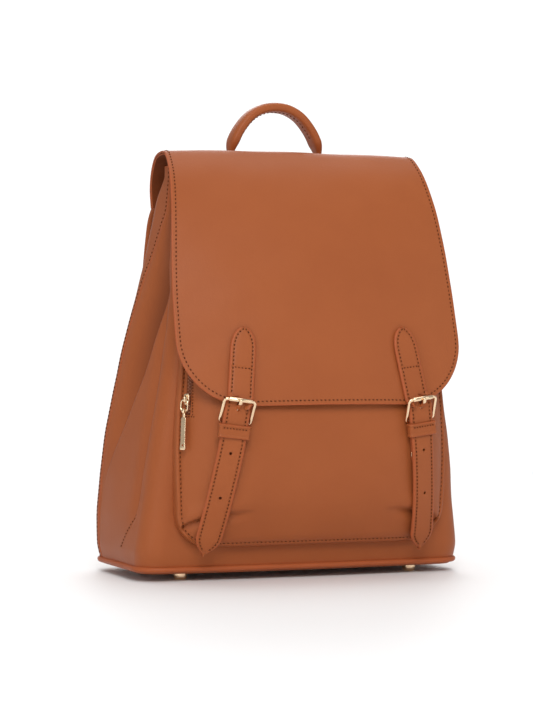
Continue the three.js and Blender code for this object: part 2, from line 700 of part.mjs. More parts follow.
function strapRibbon(heights, side, tipHeight) {
  return ribbon(heights.map((z) => ({
    point: strapPoint(z, side),
    normal: strapNormal(z, side),
    half: arched(Math.abs(z - tipHeight)),
  })), STRAP.thick);
}

// A local frame on the strap: +x along its width, +y into the bag, +z up the strap.
function strapFrame(z, side) {
  const out = strapNormal(z, side);
  const up = strapPoint(z + 2, side).sub(strapPoint(z - 2, side)).normalize();
  const across = new THREE.Vector3().crossVectors(out.clone().negate(), up).normalize();
  const matrix = new THREE.Matrix4().makeBasis(across, new THREE.Vector3().crossVectors(up, across), up);
  matrix.setPosition(strapPoint(z, side));
  return matrix;
}

function frameGroup(matrix) {
  const group = new THREE.Group();
  matrix.decompose(group.position, group.quaternion, group.scale);
  bag.add(group);
  return group;
}

const HEEL_Z = 122.5;           // height of the buckle's heel bar
const HEEL_IN = STRAP.thick / 2 + BUCKLE.wire + GAP;
const STUD_Z = 97;

function closureStrap(name, side) {
  add(`closure_strap_${name}_top`, strapRibbon([193, 191.5, 188, 183, 176, 169, 163.4], side, 193.4), TAN);
  const heights = [162.6, 150, 139, 130, 121, 112, 103, 95, 84, 73, 62, 51, 42, 34, 27, 22, 19.4];
  const strap = strapRibbon(heights, side, 19);
  const round = (z) => new THREE.CylinderGeometry(STRAP.hole / 2, STRAP.hole / 2, 8, 10)
    .applyMatrix4(strapFrame(z, side));
  const slot = new THREE.BoxGeometry(3.4, 8, 15).applyMatrix4(strapFrame(HEEL_Z + 3.7, side));
  add(`closure_strap_${name}`, cut(strap, slot, round(94), round(61)), TAN);
  buckle(name, side);
  keeperLoop(name, side);
  chapeTab(name, side);
}

// The buckle: a rectangular frame tilted outwards from its heel bar, a roller and a prong.
function buckle(name, side) {
  const heel = frameGroup(strapFrame(HEEL_Z, side));
  const tilted = new THREE.Group();
  tilted.position.set(0, HEEL_IN, 0);
  tilted.rotation.x = Math.atan2(BUCKLE.tilt + HEEL_IN, BUCKLE.height);
  heel.add(tilted);
  const halfX = BUCKLE.inner / 2 + BUCKLE.wire;
  const outward = new THREE.Vector3(0, -1, 0);
  const path = roundedRect(halfX, BUCKLE.height / 2, 2, 2)
    .map((p) => new THREE.Vector3(p.x, 0, p.y + BUCKLE.height / 2));
  add(`buckle_frame_${name}`, wireLoop(path, BUCKLE.wire, outward, 6), GOLD, 0.25, 1, tilted);
  const bore = BUCKLE.wire + GAP * 0.6;
  const roller = add(`buckle_roller_${name}`, cut(
    new THREE.CylinderGeometry(BUCKLE.roller, BUCKLE.roller, 17, 12).rotateZ(Math.PI / 2),
    new THREE.CylinderGeometry(bore, bore, 20, 12).rotateZ(Math.PI / 2),
  ), GOLD, 0.25, 1, tilted);
  roller.position.set(0, 0, BUCKLE.height);

  const lift = -(BUCKLE.roller + BUCKLE.prong + GAP);
  const spine = new THREE.CatmullRomCurve3([
    new THREE.Vector3(0, -1.6, 1.2), new THREE.Vector3(0, lift * 0.95, 4.5),
    new THREE.Vector3(0, lift * 1.05, BUCKLE.height * 0.6), new THREE.Vector3(0, lift, BUCKLE.height + 2.6),
  ]);
  const section = new THREE.Shape(new THREE.EllipseCurve(0, 0, BUCKLE.prong, BUCKLE.prong).getPoints(8).slice(0, 8));
  const tongue = new THREE.ExtrudeGeometry(section, { steps: 6, extrudePath: spine });
  const eye = cut(
    new THREE.CylinderGeometry(2.4, 2.4, 2.4, 12).rotateZ(Math.PI / 2),
    new THREE.CylinderGeometry(1.4, 1.4, 5, 12).rotateZ(Math.PI / 2),
  );
  add(`buckle_prong_${name}`, join(eye, tongue), GOLD, 0.25, 1, tilted);
}

const KEEPER = { z: 114, tall: 10.4, wall: 1.2, side: 0.8, front: 0.7, back: 0.6, rear: 0.8 };

function keeperLoop(name, side) {
  const frame = frameGroup(strapFrame(KEEPER.z, side));
  const halfX = STRAP.width / 2 + KEEPER.side;
  const front = -STRAP.thick / 2 - KEEPER.front;
  const back = STRAP.thick / 2 + KEEPER.back;
  const depth = back - front + KEEPER.wall + KEEPER.rear;
  const outside = new THREE.BoxGeometry(2 * (halfX + KEEPER.wall), depth, KEEPER.tall);
  outside.translate(0, (front - KEEPER.wall + back + KEEPER.rear) / 2, 0);
  const hollow = new THREE.BoxGeometry(2 * halfX, back - front, KEEPER.tall + 4);
  hollow.translate(0, (front + back) / 2, 0);
  add(`keeper_loop_${name}`, cut(outside, hollow), TAN_DARK, 0.5, 0, frame);
}

// The tab behind the strap and the keeper, with its snap rivet and the magnet in the pocket.
const CHAPE = { top: 119.6, bottom: 87, half: 8.5, thick: 1.2, rivetOut: 6.6 };

function chapeTab(name, side) {
  const inward = STRAP.thick / 2 + KEEPER.back + KEEPER.rear + GAP + CHAPE.thick / 2;
  const rounded = (z) => CHAPE.half * Math.sqrt(1 - Math.max(0, 1 - (z - CHAPE.bottom + 0.4) / CHAPE.half) ** 2);
  const stations = [CHAPE.top, 110, 102, 96, 92, 89, CHAPE.bottom].map((z) => {
    const normal = strapNormal(z, side);
    return { point: strapPoint(z, side).addScaledVector(normal, -inward), normal, half: rounded(z) };
  });
  add(`chape_tab_${name}`, ribbon(stations, CHAPE.thick), TAN_DARK);
  const frame = frameGroup(strapFrame(STUD_Z, side));
  const rivet = add(`snap_rivet_${name}`, new THREE.CylinderGeometry(3, 3, 0.7, 14), GOLD, 0.3, 1, frame);
  rivet.position.set(-side * CHAPE.rivetOut, inward - CHAPE.thick / 2 - GAP - 0.35, 0);
  const magnet = add(`snap_magnet_${name}`, new THREE.CylinderGeometry(7, 7, 2, 16), 0x9a9a9a, 0.4, 1, frame);
  magnet.position.set(0, inward + 8.2, 0);
}

closureStrap('left', -1);
closureStrap('right', 1);

// ---- Carry handle ----------------------------------------------------------------------------------
function handle() {
  const { half, y, base, top, radial, across } = HANDLE;
  const rise = top - base;
  const arch = [
    [-half, 0], [-half * 0.985, rise * 0.36], [-half * 0.8, rise * 0.74], [-half * 0.42, rise * 0.96],
    [0, rise],
  ];
  const mirrored = arch.slice(0, -1).reverse().map(([x, z]) => [-x, z]);
  const curve = new THREE.CatmullRomCurve3(
    [...arch, ...mirrored].map(([x, z]) => new THREE.Vector3(x, y, base + z)), false, 'centripetal',
  );
  const count = 20;
  const rings = steps(count).map((u) => {
    const p = curve.getPointAt(u);
    const tangent = curve.getTangentAt(u);
    const out = new THREE.Vector3(tangent.z, 0, -tangent.x).normalize();
    const ends = smoothstep(Math.min(u, 1 - u) / 0.13);
    const a = (radial / 2) * (0.45 + 0.55 * ends);
    const b = (across / 2) * (0.34 + 0.66 * ends);
    return steps(9, 0, 9).map((k) => {
      const angle = (2 * Math.PI * k) / 10;
      const c = Math.cos(angle);
      const s = Math.sin(angle);
      const round = 2 / 2.6;
      const point = p.clone().addScaledVector(out, a * Math.sign(c) * Math.abs(c) ** round);
      return point.add(new THREE.Vector3(0, b * Math.sign(s) * Math.abs(s) ** round, 0));
    });
  });
  add('carry_handle', skin(rings), TAN);

  // Each end stands on a leather patch sewn on the yoke.
  for (const [name, side] of [['left', -1], ['right', 1]]) {
    const from = flapLengthAtY(47);
    const to = flapLengthAtY(27);
    const grid = (depth) => steps(4).map((r) => steps(2, -1, 1).map((c) => {
      const x = side * half + c * 12;
      const s = from + (to - from) * r;
      const p = flapCurve.getPointAt(s / FLAP_LENGTH);
      return flapPoint(s, x / flapHalf(p.y, p.z), depth);
    }));
    add(`handle_patch_${name}`, slab(grid(-GAP - 1.5), grid(-GAP)), TAN_DARK);
  }
}
handle();

// ---- Shoulder straps -------------------------------------------------------------------------------
// The strap's middle line on the right side: x outwards, y, z, from its top seam down.
const SHOULDER_LINE = [
  [77, 58.5, 291.5], [78, 66, 290], [79, 74.5, 280], [79.5, 80, 264], [80, 85.5, 240], [81, 91, 200],
  [83, 95.5, 155], [85, 97.5, 112],
];
const LOWER_LINE = [[85.8, 97.6, 100.8], [90, 98, 84], [96, 98.2, 66], [102, 98, 51]];

// The slide between the two straps, and the ring and tab at the foot: place on the right side.
const STRAP_WIRE = 1.1;
const SLIDE = { halfX: 10.6, halfZ: 3.2, at: [85.4, 97.6, 107.2] };
const ANCHOR_RING = { halfX: 10.4, halfZ: 4.4, at: [104.6, 98.1, 41.6] };
const ANCHOR_TAB = [107.3, 99, 26];
const ANCHOR_LEAN = -12;

function ribbonAlong(points, side, count, half, thick) {
  const curve = new THREE.CatmullRomCurve3(
    points.map(([x, y, z]) => new THREE.Vector3(side * x, y, z)), false, 'centripetal',
  );
  return ribbon(steps(count).map((u) => {
    const point = curve.getPointAt(u);
    const tangent = curve.getTangentAt(u);
    const normal = new THREE.Vector3().crossVectors(new THREE.Vector3(1, 0, 0), tangent);
    return { point, normal, half: half(u) };
  }), thick);
}

function shoulderStrap(name, side) {
  const width = (u) => 15 - 4.5 * smoothstep((u - 0.72) / 0.28);
  add(`shoulder_strap_${name}`, ribbonAlong(SHOULDER_LINE, side, 16, width, 5), TAN);
  add(`lower_strap_${name}`, ribbonAlong(LOWER_LINE, side, 8, () => 8, 2.4), TAN_DARK);

  const place = (x, y, z, leanDeg) => {
    const group = new THREE.Group();
    group.position.set(side * x, y, z);
    group.rotation.y = THREE.MathUtils.degToRad(side * -leanDeg);
    bag.add(group);
    return group;
  };
  const loop = ({ halfX, halfZ }) => {
    const path = roundedRect(halfX, halfZ, 2.4, 2).map((p) => new THREE.Vector3(p.x, 0, p.y));
    return wireLoop(path, STRAP_WIRE, new THREE.Vector3(0, -1, 0), 6);
  };
  add(`strap_slide_${name}`, loop(SLIDE), GOLD, 0.3, 1, place(...SLIDE.at, 0));
  add(`anchor_ring_${name}`, loop(ANCHOR_RING), GOLD, 0.3, 1, place(...ANCHOR_RING.at, ANCHOR_LEAN));
  const tab = new THREE.Shape();
  tab.moveTo(-7.5, 8);
  tab.lineTo(7.5, 8);
  tab.lineTo(12, -8);
  tab.lineTo(-12, -8);
  const patch = new THREE.ExtrudeGeometry(tab, { depth: 2.2, bevelEnabled: false }).rotateX(Math.PI / 2);
  add(`anchor_tab_${name}`, patch, TAN_DARK, 0.55, 0, place(...ANCHOR_TAB, ANCHOR_LEAN));
}
shoulderStrap('left', -1);
shoulderStrap('right', 1);

export default bag;
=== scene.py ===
# %% [markdown]
# # A leather backpack, made around its fixed frame
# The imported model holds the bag's sizes, hinges and hard pieces. This lesson lays the real looks
# over it: leather sheets with turned edges, rows of stitches, zips, plated buckles and a soft
# light. Every soft piece is a surface worked out on a grid of numbers, so that its shape can be
# read from a formula and changed by changing one value.

# %% Load the frame
import json
import math

import bpy
import numpy as np
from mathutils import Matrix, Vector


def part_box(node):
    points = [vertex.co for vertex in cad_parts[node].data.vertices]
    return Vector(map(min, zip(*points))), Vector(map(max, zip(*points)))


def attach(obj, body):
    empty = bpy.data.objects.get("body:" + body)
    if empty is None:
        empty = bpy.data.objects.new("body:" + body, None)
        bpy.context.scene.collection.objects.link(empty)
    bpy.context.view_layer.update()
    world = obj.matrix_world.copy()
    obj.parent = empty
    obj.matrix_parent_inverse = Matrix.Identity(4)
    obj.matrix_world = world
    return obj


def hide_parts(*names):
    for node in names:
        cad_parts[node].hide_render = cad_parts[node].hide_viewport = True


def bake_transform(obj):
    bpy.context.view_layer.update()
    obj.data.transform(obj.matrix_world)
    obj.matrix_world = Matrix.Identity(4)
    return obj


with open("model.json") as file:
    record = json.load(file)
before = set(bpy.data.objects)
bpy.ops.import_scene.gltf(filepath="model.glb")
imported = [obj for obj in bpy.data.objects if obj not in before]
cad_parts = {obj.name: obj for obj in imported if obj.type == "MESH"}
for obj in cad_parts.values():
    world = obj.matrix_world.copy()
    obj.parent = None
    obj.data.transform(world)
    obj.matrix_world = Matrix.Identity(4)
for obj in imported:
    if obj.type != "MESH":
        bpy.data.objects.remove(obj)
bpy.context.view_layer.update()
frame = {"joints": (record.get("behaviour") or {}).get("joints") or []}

joints = {joint["name"]: joint for joint in frame["joints"]}

# %% [markdown]
# ## Units and the starting line
# Leather workers measure in millimetres, so the shapes below are worked out in millimetres, and
# y = 0 is the ridge of the flap. One function turns them into metres in the frame. The frame
# states the flap's hinge line, and the ridge lies 12 mm in front of it.

# %% From millimetres to the frame
MM = 0.001
HINGE_BEHIND_RIDGE = 12.0
hinge = np.array(joints["flap_hinge"]["pos_m"]) / MM
RIDGE = np.array([0.0, hinge[1] - HINGE_BEHIND_RIDGE, 0.0])


def metres(points):
    """Place in the frame = (place from the ridge + the ridge's own place) times 0.001."""
    return (np.asarray(points, float) + RIDGE) * MM


print("the ridge is at y =", round(float(RIDGE[1]), 3), "mm in the frame")

# %% [markdown]
# ## The camera
# The camera stands 1.8 m away, to the left of the front and a little above the bag's middle, so
# that the bag shows its front and its left gusset. It is made first, because everything is
# judged through it.

# %% Place the camera
CAMERA_PLACE = (-658.0, -1690.4, 184.8)
CAMERA_TURN = math.radians(20.67)       # how far it looks to the right of straight ahead
CAMERA_DROP = math.radians(0.41)        # how far it looks down
camera = bpy.data.objects.new("camera", bpy.data.cameras.new("camera"))
bpy.context.scene.collection.objects.link(camera)
camera.data.lens = 116.5
camera.data.sensor_width = 36.0
camera.data.clip_start = 0.05
camera.data.clip_end = 200.0
camera.location = metres(CAMERA_PLACE)
camera.rotation_euler = (math.pi / 2 - CAMERA_DROP, 0.0, -CAMERA_TURN)
bpy.context.scene.camera = camera
print("camera at", [round(float(c), 3) for c in camera.location])

# %% [markdown]
# ## Tools for surfaces
# A sheet of leather is a grid of points with a thickness. Its edge is turned or painted, so it is
# round, and it reddens where the paint sits. One function closes any grid of outer points into
# such a sheet. A second one joins rings of points into a bar, and a third one stamps a small
# capsule along a line, for stitches and zip teeth. Each returns points and faces; the last one,
# `piece`, puts them into Blender and checks that the faces look outwards.

# %% Grids and faces
def grid_faces(index):
    """Four-sided faces between neighbouring rows and columns of a grid of vertex numbers."""
    a, b = index[:-1, :-1], index[:-1, 1:]
    c, d = index[1:, 1:], index[1:, :-1]
    return np.stack([a, b, c, d], axis=-1).reshape(-1, 4)


def unit(vectors):
    """Each vector divided by its own length."""
    length = np.linalg.norm(vectors, axis=-1, keepdims=True)
    return vectors / np.maximum(length, 1e-9)


def normals_of(grid, facing):
    """The cross product of the directions along rows and columns, on the side of facing."""
    across = np.gradient(grid, axis=1)
    down = np.gradient(grid, axis=0)
    normal = unit(np.cross(across, down))
    side = np.sum(normal * facing)
    return normal if side > 0 else -normal


def border_of(index):
    """The vertex numbers round a grid's border, once round."""
    return np.concatenate([index[0, :-1], index[:-1, -1], index[-1, :0:-1], index[:0:-1, 0]])


def rim_direction(path, normal, inside, loop=True):
    """The direction that leaves the sheet at its edge: edge direction crossed with the normal."""
    if loop:
        tangent = np.roll(path, -1, axis=0) - np.roll(path, 1, axis=0)
    else:
        tangent = np.gradient(path, axis=0)
    away = unit(np.cross(tangent, normal))
    if np.sum(away * (path - inside)) < 0:
        away = -away
    return away


print("a grid of 3 by 4 points has", len(grid_faces(np.arange(12).reshape(3, 4))), "faces")

# %% A sheet with a round edge
def sheet_mesh(grid, thick, facing, turns=5, normal=None):
    """A closed sheet of leather; its normals come from the grid unless they are given.

    The top is the grid. The edge is half a circle as thick as the sheet: at an angle a it lies
    at top + away * r * sin(a) - normal * r * (1 - cos(a)), with r half the thickness. The
    underside is the top moved inwards by the thickness.
    """
    rows, cols = grid.shape[:2]
    normal = normals_of(grid, facing) if normal is None else normal
    top = np.arange(rows * cols).reshape(rows, cols)
    rim = border_of(top)
    flat_grid = grid.reshape(-1, 3)
    flat_normal = normal.reshape(-1, 3)
    path = flat_grid[rim]
    lean = flat_normal[rim]
    away = rim_direction(path, lean, flat_grid.mean(axis=0))
    r = thick / 2
    angles = np.linspace(0, math.pi, turns + 2)[1:-1]
    rings = [path + away * r * math.sin(a) - lean * r * (1 - math.cos(a)) for a in angles]
    count = len(rim)
    points = np.concatenate([flat_grid, *rings, flat_grid - flat_normal * thick])
    bottom = top + rows * cols + count * turns
    lines = [rim] + [rows * cols + k * count + np.arange(count) for k in range(turns)]
    lines.append(border_of(bottom))
    strips = []
    for upper, lower in zip(lines[:-1], lines[1:]):
        ahead_upper, ahead_lower = np.roll(upper, -1), np.roll(lower, -1)
        strips.append(np.stack([ahead_upper, upper, lower, ahead_lower], axis=-1))
    faces = np.concatenate([grid_faces(top), grid_faces(bottom)[:, ::-1], *strips])
    edge = np.zeros(len(points))
    edge[rows * cols:rows * cols + count * turns] = 1.0
    edge[rim] = 1.0
    return points, [faces], edge


print("a sheet's edge turns in", sheet_mesh.__defaults__[0], "steps")

# %% Bars through rings
def ring_mesh(rings, loop=False):
    """A closed skin through rings of points; open ends are closed by a fan to their middle."""
    count, sides = rings.shape[:2]
    index = np.arange(count * sides).reshape(count, sides)
    index = np.concatenate([index, index[:, :1]], axis=1)
    if loop:
        index = np.concatenate([index, index[:1]], axis=0)
        return rings.reshape(-1, 3), [grid_faces(index)], None
    points = np.concatenate([rings.reshape(-1, 3), rings[:1].mean(axis=1), rings[-1:].mean(axis=1)])
    first, last = index[0], index[-1]
    start = np.stack([first[1:], first[:-1], np.full(sides, count * sides)], axis=-1)
    end = np.stack([last[:-1], last[1:], np.full(sides, count * sides + 1)], axis=-1)
    return points, [grid_faces(index), start, end], None


def bar_mesh(path, normal, wide, thick, power=2.0, sides=20, loop=False):
    """A bar along a path: ring point = path + side * wide * c + normal * thick * s.

    c and s are the cosine and sine of the angle, each raised to 2 / power, which makes the
    section a circle at power 2 and a soft rectangle above it.
    """
    path = np.asarray(path, float)
    if loop:
        tangent = np.roll(path, -1, axis=0) - np.roll(path, 1, axis=0)
    else:
        tangent = np.gradient(path, axis=0)
    tangent = unit(tangent)
    side = unit(np.cross(tangent, np.broadcast_to(normal, path.shape)))
    out = np.cross(side, tangent)
    angle = np.arange(sides) * 2 * math.pi / sides
    c = np.sign(np.cos(angle)) * np.abs(np.cos(angle)) ** (2 / power)
    s = np.sign(np.sin(angle)) * np.abs(np.sin(angle)) ** (2 / power)
    wide = np.broadcast_to(wide, len(path))[:, None, None]
    thick = np.broadcast_to(thick, len(path))[:, None, None]
    rings = path[:, None] + side[:, None] * wide * c[None, :, None] + out[:, None] * thick * s[None, :,
        None]
    return ring_mesh(rings, loop)


print("a bar has", bar_mesh.__defaults__[1], "sides unless it is told otherwise")

# %% Small capsules in rows
def capsule_mesh(centres, along, out, length, radius, sides=6, rings=4):
    """Capsules, each = centre + along * x + (side * cos + out * sin) * radius(x).

    radius(x) = radius times the square root of 1 - (2 x / length) to the fourth.
    """
    along, out = unit(along), unit(out)
    side = np.cross(along, out)
    x = np.linspace(-0.5, 0.5, rings + 2)[1:-1] * length
    swell = radius * np.sqrt(1 - (2 * x / length) ** 4)
    angle = np.arange(sides) * 2 * math.pi / sides
    local = np.stack([
        np.repeat(x, sides), np.outer(swell, np.cos(angle)).ravel(), np.outer(swell, np.sin(angle)).ravel(),
    ], axis=-1)
    local = np.concatenate([local, [[-length / 2, 0, 0], [length / 2, 0, 0]]])
    axes = np.stack([along, side, out], axis=1)
    points = centres[:, None] + np.einsum("vk,nkc->nvc", local, axes)
    index = np.arange(rings * sides).reshape(rings, sides)
    index = np.concatenate([index, index[:, :1]], axis=1)
    start = np.stack([index[0, 1:], index[0, :-1], np.full(sides, rings * sides)], axis=-1)
    end = np.stack([index[-1, :-1], index[-1, 1:], np.full(sides, rings * sides + 1)], axis=-1)
    step = (np.arange(len(centres)) * len(local))[:, None, None]
    faces = [(one[None] + step).reshape(-1, one.shape[1]) for one in (grid_faces(index), start, end)]
    return points.reshape(-1, 3), faces, None


def evenly(path, pitch, *carried):
    """Points every pitch along a path, with its direction and whatever is carried with it."""
    length = np.concatenate([[0], np.cumsum(np.linalg.norm(np.diff(path, axis=0), axis=1))])
    count = max(2, int(length[-1] / pitch))
    stops = (np.arange(count) + 0.5) * length[-1] / count
    pick = lambda values: np.stack([np.interp(stops, length, values[:, k]) for k in range(3)], axis=-1)
    return pick(path), pick(np.gradient(path, axis=0)), *[pick(values) for values in carried]


STITCH_PITCH = 3.3
STITCH_SHARE = 0.6                    # the part of each pitch that is thread on top
STITCH_RADIUS = 0.5


def stitch_mesh(path, out, pitch=STITCH_PITCH, lift=0.1):
    """A row of stitches on a line; each lies half sunk in the leather, a little askew."""
    centres, along, out = evenly(path, pitch, out)
    along, out = unit(along), unit(out)
    slant = np.cross(along, out) * 0.12
    return capsule_mesh(centres + out * lift, along + slant, out, pitch * STITCH_SHARE, STITCH_RADIUS)


def edge_run(grid, facing, inset, sides, normal=None):
    """A line inside the sheet's edge, along the named borders in turn, with its normals."""
    normal = normals_of(grid, facing) if normal is None else normal
    borders = {
        "left": (slice(None), 0), "bottom": (-1, slice(None)),
        "right": (slice(None, None, -1), -1), "top": (0, slice(None, None, -1)),
        "right_down": (slice(None), -1), "top_ahead": (0, slice(None)),
    }
    path = np.concatenate([grid[borders[s]] for s in sides])
    lean = np.concatenate([normal[borders[s]] for s in sides])
    keep = np.concatenate([[True], np.linalg.norm(np.diff(path, axis=0), axis=1) > 1e-6])
    path, lean = path[keep], lean[keep]
    away = rim_direction(path, lean, grid.reshape(-1, 3).mean(axis=0), loop=False)
    return path - away * inset, lean


print("a stitch is", round(STITCH_PITCH * STITCH_SHARE, 2), "mm long and", 2 * STITCH_RADIUS, "mm thick")

# %% Put a surface into Blender
def together(*meshes):
    """Several meshes as one."""
    points, faces, start = [], [], 0
    for mesh_points, mesh_faces, _ in meshes:
        points.append(mesh_points)
        faces.extend(f + start for f in mesh_faces)
        start += len(mesh_points)
    return np.concatenate(points), faces, None


def volume_of(points, faces):
    """The volume inside: a sixth of the sum of corner . (next x next) over all triangles."""
    total = 0.0
    for block in faces:
        for k in range(1, block.shape[1] - 1):
            a, b, c = points[block[:, 0]], points[block[:, k]], points[block[:, k + 1]]
            total += np.einsum("ij,ij->", a, np.cross(b, c)) / 6
    return total


def piece(name, mesh, material, replaces=(), sharp=None):
    """One Blender object, in metres in the frame, with its faces outwards."""
    points, faces, edge = mesh
    middle = points.mean(axis=0)
    if volume_of(points - middle, faces) < 0:
        faces = [block[:, ::-1] for block in faces]
    data = bpy.data.meshes.new(name)
    data.from_pydata(metres(points).tolist(), [], [f for block in faces for f in block.tolist()])
    data.polygons.foreach_set("use_smooth", np.ones(len(data.polygons), bool))
    if sharp is not None:
        data.set_sharp_from_angle(angle=math.radians(sharp))
    values = data.attributes.new("edge", "FLOAT", "POINT")
    values.data.foreach_set("value", (np.zeros(len(points)) if edge is None else edge).astype(np.float32))
    data.materials.append(material)
    data.update()
    made = bpy.data.objects.new(name, data)
    bpy.context.scene.collection.objects.link(made)
    if replaces:
        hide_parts(*replaces)
    return made


def smoothstep(value):
    """3 t^2 - 2 t^3, with t kept between 0 and 1."""
    t = np.clip(value, 0.0, 1.0)
    return t * t * (3 - 2 * t)


def along_table(table, h):
    """Smooth curve through a table: a cubic in each span, with the slopes of its neighbours."""
    t = np.asarray(table, float)
    h = np.clip(np.asarray(h, float), t[0, 0], t[-1, 0])
    number = np.arange(len(t))
    before, after = np.maximum(number - 1, 0), np.minimum(number + 1, len(t) - 1)
    slope = (t[after, 1:] - t[before, 1:]) / (t[after, 0] - t[before, 0])[:, None]
    i = np.clip(np.searchsorted(t[:, 0], h, side="right") - 1, 0, len(t) - 2)
    span = (t[i + 1, 0] - t[i, 0])[..., None]
    u = (h[..., None] - t[i, 0][..., None]) / span
    value = (1 + 2 * u) * (1 - u) ** 2 * t[i, 1:] + u * (1 - u) ** 2 * span * slope[i]
    value += u * u * (3 - 2 * u) * t[i + 1, 1:] + u * u * (u - 1) * span * slope[i + 1]
    return np.moveaxis(value, -1, 0)


def through(points, count=1200):
    """A smooth line through a few points, evenly sampled.

    Between two points it is a cubic whose end directions weigh the neighbours by the square
    root of their distance, which keeps the line from looping.
    """
    p = np.asarray(points, float)
    p = np.concatenate([[2 * p[0] - p[1]], p, [2 * p[-1] - p[-2]]])
    gap = np.sqrt(np.linalg.norm(np.diff(p, axis=0), axis=1))[:, None]
    x0, x1, x2, x3 = p[:-3], p[1:-2], p[2:-1], p[3:]
    d0, d1, d2 = gap[:-2], gap[1:-1], gap[2:]
    start = ((x1 - x0) / d0 - (x2 - x0) / (d0 + d1) + (x2 - x1) / d1) * d1
    end = ((x2 - x1) / d1 - (x3 - x1) / (d1 + d2) + (x3 - x2) / d2) * d1
    u = np.linspace(0, 1, 80, endpoint=False)[None, :, None]
    x1, x2, start, end = (v[:, None] for v in (x1, x2, start, end))
    dense = (2 * u ** 3 - 3 * u ** 2 + 1) * x1 + (u ** 3 - 2 * u ** 2 + u) * start
    dense += (3 * u ** 2 - 2 * u ** 3) * x2 + (u ** 3 - u ** 2) * end
    dense = np.concatenate([dense.reshape(-1, p.shape[1]), p[-2:-1]])
    length = np.concatenate([[0], np.cumsum(np.linalg.norm(np.diff(dense, axis=0), axis=1))])
    stops = np.linspace(0, length[-1], count)
    line = np.stack([np.interp(stops, length, dense[:, k]) for k in range(p.shape[1])], axis=-1)
    return line, stops


def crowd(count, near_start=1.0, near_end=1.0, reach=0.2):
    """Numbers from 0 to 1 whose steps shrink near one end or both, by the given factors."""
    m = np.linspace(0, 1, count - 1)
    step = np.ones(count - 1)
    step *= 1 / near_start + (1 - 1 / near_start) * smoothstep(m / reach)
    step *= 1 / near_end + (1 - 1 / near_end) * smoothstep((1 - m) / reach)
    value = np.concatenate([[0], np.cumsum(step)])
    return value / value[-1]


print("tools for sheets, bars, capsules and smooth lines are ready")

# %% [markdown]
# ## Leather
# The bag is a smooth coated leather. Close up it has fine pores, its colour drifts a little over
# a hand's breadth, and the cut edges are painted a redder brown. The pores are a bump from small
# cells, the drift is slow noise, and the edge paint follows the `edge` value that the sheets
# carry. A second value, `fold`, darkens the gusset's fold with painted shade: the lights alone
# leave the fold too bright, and the colour of this painted shade was chosen.
# Everything reads object coordinates, so the grain keeps its size on every piece. Numbers
# that are the same all over sit on the shader itself.

# %% A small language for materials
def new_material(name):
    """An empty node material: its tree, a function that adds a node, and its main shader."""
    material = bpy.data.materials.new(name)
    material.use_nodes = True
    tree = material.node_tree
    shader = tree.nodes["Principled BSDF"]

    def node(kind, **settings):
        made = tree.nodes.new(kind)
        for key, value in settings.items():
            if key in made.inputs:
                made.inputs[key].default_value = value
            else:
                setattr(made, key, value)
        return made

    return material, tree.links.new, node, shader


def blend_colours(link, node, share, first, second):
    """first where the share is 0, second where it is 1; each is a colour or a socket."""
    mix = node("ShaderNodeMix", data_type="RGBA")
    link(share, mix.inputs[0])
    for socket, value in ((mix.inputs[6], first), (mix.inputs[7], second)):
        if isinstance(value, tuple):
            socket.default_value = (*value, 1.0)
        else:
            link(value, socket)
    return mix.outputs[2]


def spread(link, node, source, low, high):
    """A share from 0 to 1 turned into a number between low and high."""
    span = node("ShaderNodeMapRange")
    span.inputs[3].default_value = low
    span.inputs[4].default_value = high
    link(source, span.inputs[0])
    return span.outputs[0]


print("helpers for node materials are ready")

# %% The leather recipe
def leather(name, colour, shade, paint, rough=(0.40, 0.52)):
    """Smooth coated leather with pores, slow colour drift, painted edges and painted shade in the gusset's
    fold.
    """
    material, link, node, shader = new_material(name)
    place = node("ShaderNodeTexCoord").outputs["Object"]
    drift = node("ShaderNodeTexNoise", Scale=14.0, Detail=3.0, Roughness=0.6)
    fine = node("ShaderNodeTexNoise", Scale=420.0, Detail=2.0, Roughness=0.5)
    pores = node("ShaderNodeTexVoronoi", Scale=950.0)
    for texture in (drift, fine, pores):
        link(place, texture.inputs["Vector"])
    body_colour = blend_colours(link, node, spread(link, node, drift.outputs[0], -0.35, 1.35), colour,
        shade)
    speck = spread(link, node, fine.outputs[0], -0.12, 0.22)
    body_colour = blend_colours(link, node, speck, body_colour, shade)
    # Painted shade: the `fold` value darkens the gusset's fold towards FOLD_SHADE.
    fold = node("ShaderNodeAttribute", attribute_name="fold").outputs["Fac"]
    body_colour = blend_colours(link, node, fold, body_colour, FOLD_SHADE)
    edge = node("ShaderNodeAttribute", attribute_name="edge").outputs["Fac"]
    link(blend_colours(link, node, edge, body_colour, paint), shader.inputs["Base Color"])
    link(spread(link, node, drift.outputs[0], rough[0], rough[1]), shader.inputs["Roughness"])
    grain = node("ShaderNodeMath", operation="MULTIPLY_ADD")
    link(pores.outputs["Distance"], grain.inputs[0])
    grain.inputs[1].default_value = 0.7
    link(fine.outputs[0], grain.inputs[2])
    bump = node("ShaderNodeBump", Strength=0.22, Distance=0.00022)
    link(grain.outputs[0], bump.inputs["Height"])
    link(bump.outputs[0], shader.inputs["Normal"])
    shader.inputs["Specular IOR Level"].default_value = 0.16
    shader.inputs["Coat Weight"].default_value = 0.03
    shader.inputs["Coat Roughness"].default_value = 0.38
    return material


TAN = (0.335, 0.090, 0.0265)
TAN_SHADE = (0.300, 0.077, 0.0220)
EDGE_PAINT = (0.35, 0.082, 0.026)
# The colour of the painted shade in the gusset's fold.
FOLD_SHADE = (0.105, 0.022, 0.006)
skin = leather("tan_leather", TAN, TAN_SHADE, EDGE_PAINT)
trim = leather("tan_leather_trim", (0.325, 0.086, 0.025), (0.29, 0.073, 0.020), EDGE_PAINT, (0.38, 0.5))
backing = leather("flap_underside_leather", (0.19, 0.046, 0.013), (0.15, 0.036, 0.011), EDGE_PAINT,
    (0.5, 0.62))
print("leathers:", skin.name, trim.name, backing.name)
